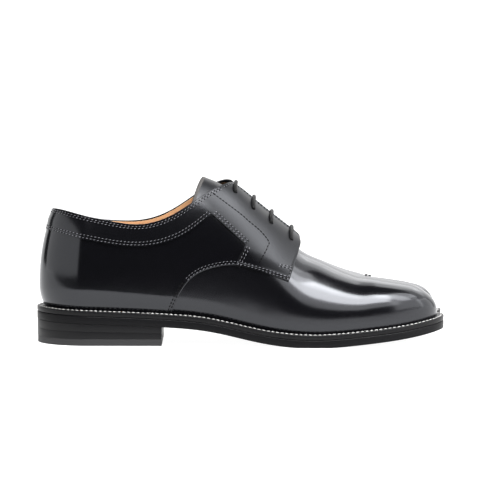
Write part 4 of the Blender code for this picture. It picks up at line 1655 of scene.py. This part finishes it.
class SHOE_OT_welt_seam(bpy.types.Operator):
    """Sews the light row of stitches on the welt"""

    bl_idname = "shoe.welt_seam"
    bl_label = "Welt seam"

    def execute(self, context):
        sizes = context.scene.shoe_sizes
        plan, _ = plan_loop(*SEAM_PLAN)
        row = [(Vector((x, y, seat(x))), UP) for x, y in plan + plan[:1]]
        # The pale thread paints the highlights that the welt's stitches catch
        light = sewing_thread("welt_thread", context.scene.shoe_colours.welt_thread, 0.6)
        sizes_mm = [v / MM for v in (sizes.welt_stitch, sizes.welt_pitch, sizes.welt_thread)]
        piece = sew([row], *sizes_mm, "welt_stitches", light)
        wear(piece, "welt_leather")
        return {"FINISHED"}


# Soft boxes of the studio, in metres
SOFT_BOXES = (
    # name, place, point it faces, size, property with its power
    ("sky_box", (0.62, -0.25, 1.0), (0.0, 0.0, 0.06), (0.8, 0.6), "sky_light"),
    ("key_box", (0.21, -0.57, 0.93), (0.05, 0.0, 0.04), (0.62, 0.75), "key_light"),
    ("fade_box", (0.65, -0.43, 0.93), (0.08, 0.0, 0.04), (0.3, 0.75), "fade_light"),
    ("toe_box", (1.05, -0.63, 0.48), (0.1, 0.0, 0.03), (1.0, 1.0), "toe_light"),
    ("side_box", (1.37, 0.2, 0.38), (0.13, 0.0, 0.04), (1.3, 0.85), "side_light"),
    ("heel_box", (-1.464, -0.543, 0.45), (-0.12, 0.0, 0.05), (3.1, 0.9), "heel_light"),
    ("low_box", (0.46, -1.02, 0.6), (0.1, 0.0, 0.04), (0.8, 0.45), "low_light"),
    ("edge_box", (1.0, 0.52, 1.09), (0.02, 0.0, 0.09), (2.1, 0.8), "edge_light"),
    ("back_box", (0.3, 2.2, 1.2), (0.1, 0.0, 0.04), (1.6, 0.8), "back_light"),
)
CAMERA_X = -0.0002
SWEEP_BEND = 0.5
LIP_FALL = 0.15


def soft_box(name, place, aim, size, power):
    """Rectangular area light at a place, turned to a point."""
    bpy.ops.object.select_all(action="DESELECT")
    turn = (Vector(aim) - Vector(place)).to_track_quat("-Z", "Y").to_euler()
    bpy.ops.object.light_add(type="AREA", location=place, rotation=turn)
    lamp = bpy.context.object
    lamp.name = name
    lamp.data.shape = "RECTANGLE"
    lamp.data.size, lamp.data.size_y = size
    lamp.data.energy = power


def draw_out(floor, low, high, move):
    """Extrudes the edge of the paper whose ends both lie between two values of y."""
    bpy.ops.object.mode_set(mode="EDIT")
    bpy.ops.mesh.select_mode(type="EDGE")
    bpy.ops.mesh.select_all(action="DESELECT")
    bpy.ops.object.mode_set(mode="OBJECT")
    for side in floor.data.edges:
        side.select = all(low < floor.data.vertices[k].co.y < high for k in side.vertices)
    bpy.ops.object.mode_set(mode="EDIT")
    bpy.ops.mesh.extrude_region_move(TRANSFORM_OT_translate={"value": move})
    bpy.ops.mesh.select_all(action="SELECT")


def paper_sweep(look):
    """Paper that lies under the shoe, turns up behind it and falls away before it."""
    bpy.ops.object.select_all(action="DESELECT")
    middle = (0.0, look.paper * 0.5 - look.front, 0.0)
    bpy.ops.mesh.primitive_plane_add(size=look.paper, location=middle)
    floor = bpy.context.object
    floor.name = "paper_sweep"
    floor.scale.x = 2.0
    draw_out(floor, 0.0, look.paper, (0.0, 0.0, look.paper * 1.25))
    bpy.ops.mesh.bevel(offset=SWEEP_BEND, segments=16, affect="EDGES")
    bpy.ops.object.mode_set(mode="OBJECT")
    front = min(v.co.y for v in floor.data.vertices)
    draw_out(floor, front - 0.001, front + 0.001, (0.0, -look.lip, -LIP_FALL * look.lip))
    bpy.ops.mesh.normals_make_consistent(inside=False)
    bpy.ops.object.mode_set(mode="OBJECT")
    bpy.ops.object.transform_apply(location=True, rotation=False, scale=True)
    bpy.ops.object.shade_smooth()
    floor.data.materials.append(studio_paper())
    return floor


class SHOE_OT_stage(bpy.types.Operator):
    """Sets the camera, a pale paper sweep and soft studio light"""

    bl_idname = "shoe.stage"
    bl_label = "Stage"

    def execute(self, context):
        look = context.scene.shoe_stage
        bpy.ops.object.select_all(action="DESELECT")
        back, up = look.distance * math.cos(look.rise), look.distance * math.sin(look.rise)
        bpy.ops.object.camera_add(
            location=(CAMERA_X, -back, look.aim + up),
            rotation=(math.pi / 2 - look.rise, 0.0, 0.0),
        )
        camera = context.object
        camera.data.sensor_fit = "HORIZONTAL"
        camera.data.angle = 2.0 * math.atan(look.width * 0.5 / look.distance)
        context.scene.camera = camera
        floor = paper_sweep(look)
        world = bpy.data.worlds.new("dim_room")
        world.use_nodes = True
        room = world.node_tree.nodes["Background"]
        room.inputs["Color"].default_value = (1.0, 1.0, 1.0, 1.0)
        room.inputs["Strength"].default_value = look.room
        context.scene.world = world
        for name, place, aim, size, power in SOFT_BOXES:
            soft_box(name, place, aim, size, getattr(look, power))
        context.scene.view_settings.view_transform = "Standard"
        return {"FINISHED"}


STEPS = (
    SHOE_OT_vamp,
    SHOE_OT_quarters,
    SHOE_OT_facings,
    SHOE_OT_lining,
    SHOE_OT_tongue,
    SHOE_OT_sole,
    SHOE_OT_heel,
    SHOE_OT_lace,
    SHOE_OT_seams,
    SHOE_OT_welt_seam,
    SHOE_OT_stage,
)
GROUPS = (("shoe_sizes", ShoeSizes), ("shoe_colours", ShoeColours), ("shoe_stage", ShoeStage))


class SHOE_PT_panel(bpy.types.Panel):
    """Lists the steps and the values behind them"""

    bl_idname = "SHOE_PT_panel"
    bl_label = "Split-toe shoe"
    bl_space_type = "VIEW_3D"
    bl_region_type = "UI"
    bl_category = "Shoe"

    def draw(self, context):
        for step in STEPS:
            self.layout.operator(step.bl_idname)
        for name, group in GROUPS:
            box = self.layout.box()
            for key in group.__annotations__:
                box.prop(getattr(context.scene, name), key)


def register():
    """Makes the values, the steps and the panel known."""
    for _, group in GROUPS:
        bpy.utils.register_class(group)
    for item in STEPS + (SHOE_PT_panel,):
        bpy.utils.register_class(item)
    for name, group in GROUPS:
        setattr(bpy.types.Scene, name, PointerProperty(type=group))


def unregister():
    """Takes back what register made known."""
    for name, _ in GROUPS:
        delattr(bpy.types.Scene, name)
    for item in (SHOE_PT_panel,) + STEPS[::-1]:
        bpy.utils.unregister_class(item)
    for _, group in reversed(GROUPS):
        bpy.utils.unregister_class(group)


def main():
    """Builds every piece and the stage."""
    register()
    for step in STEPS:
        group, name = step.bl_idname.split(".")
        getattr(getattr(bpy.ops, group), name)()


if __name__ == "__main__":
    main()
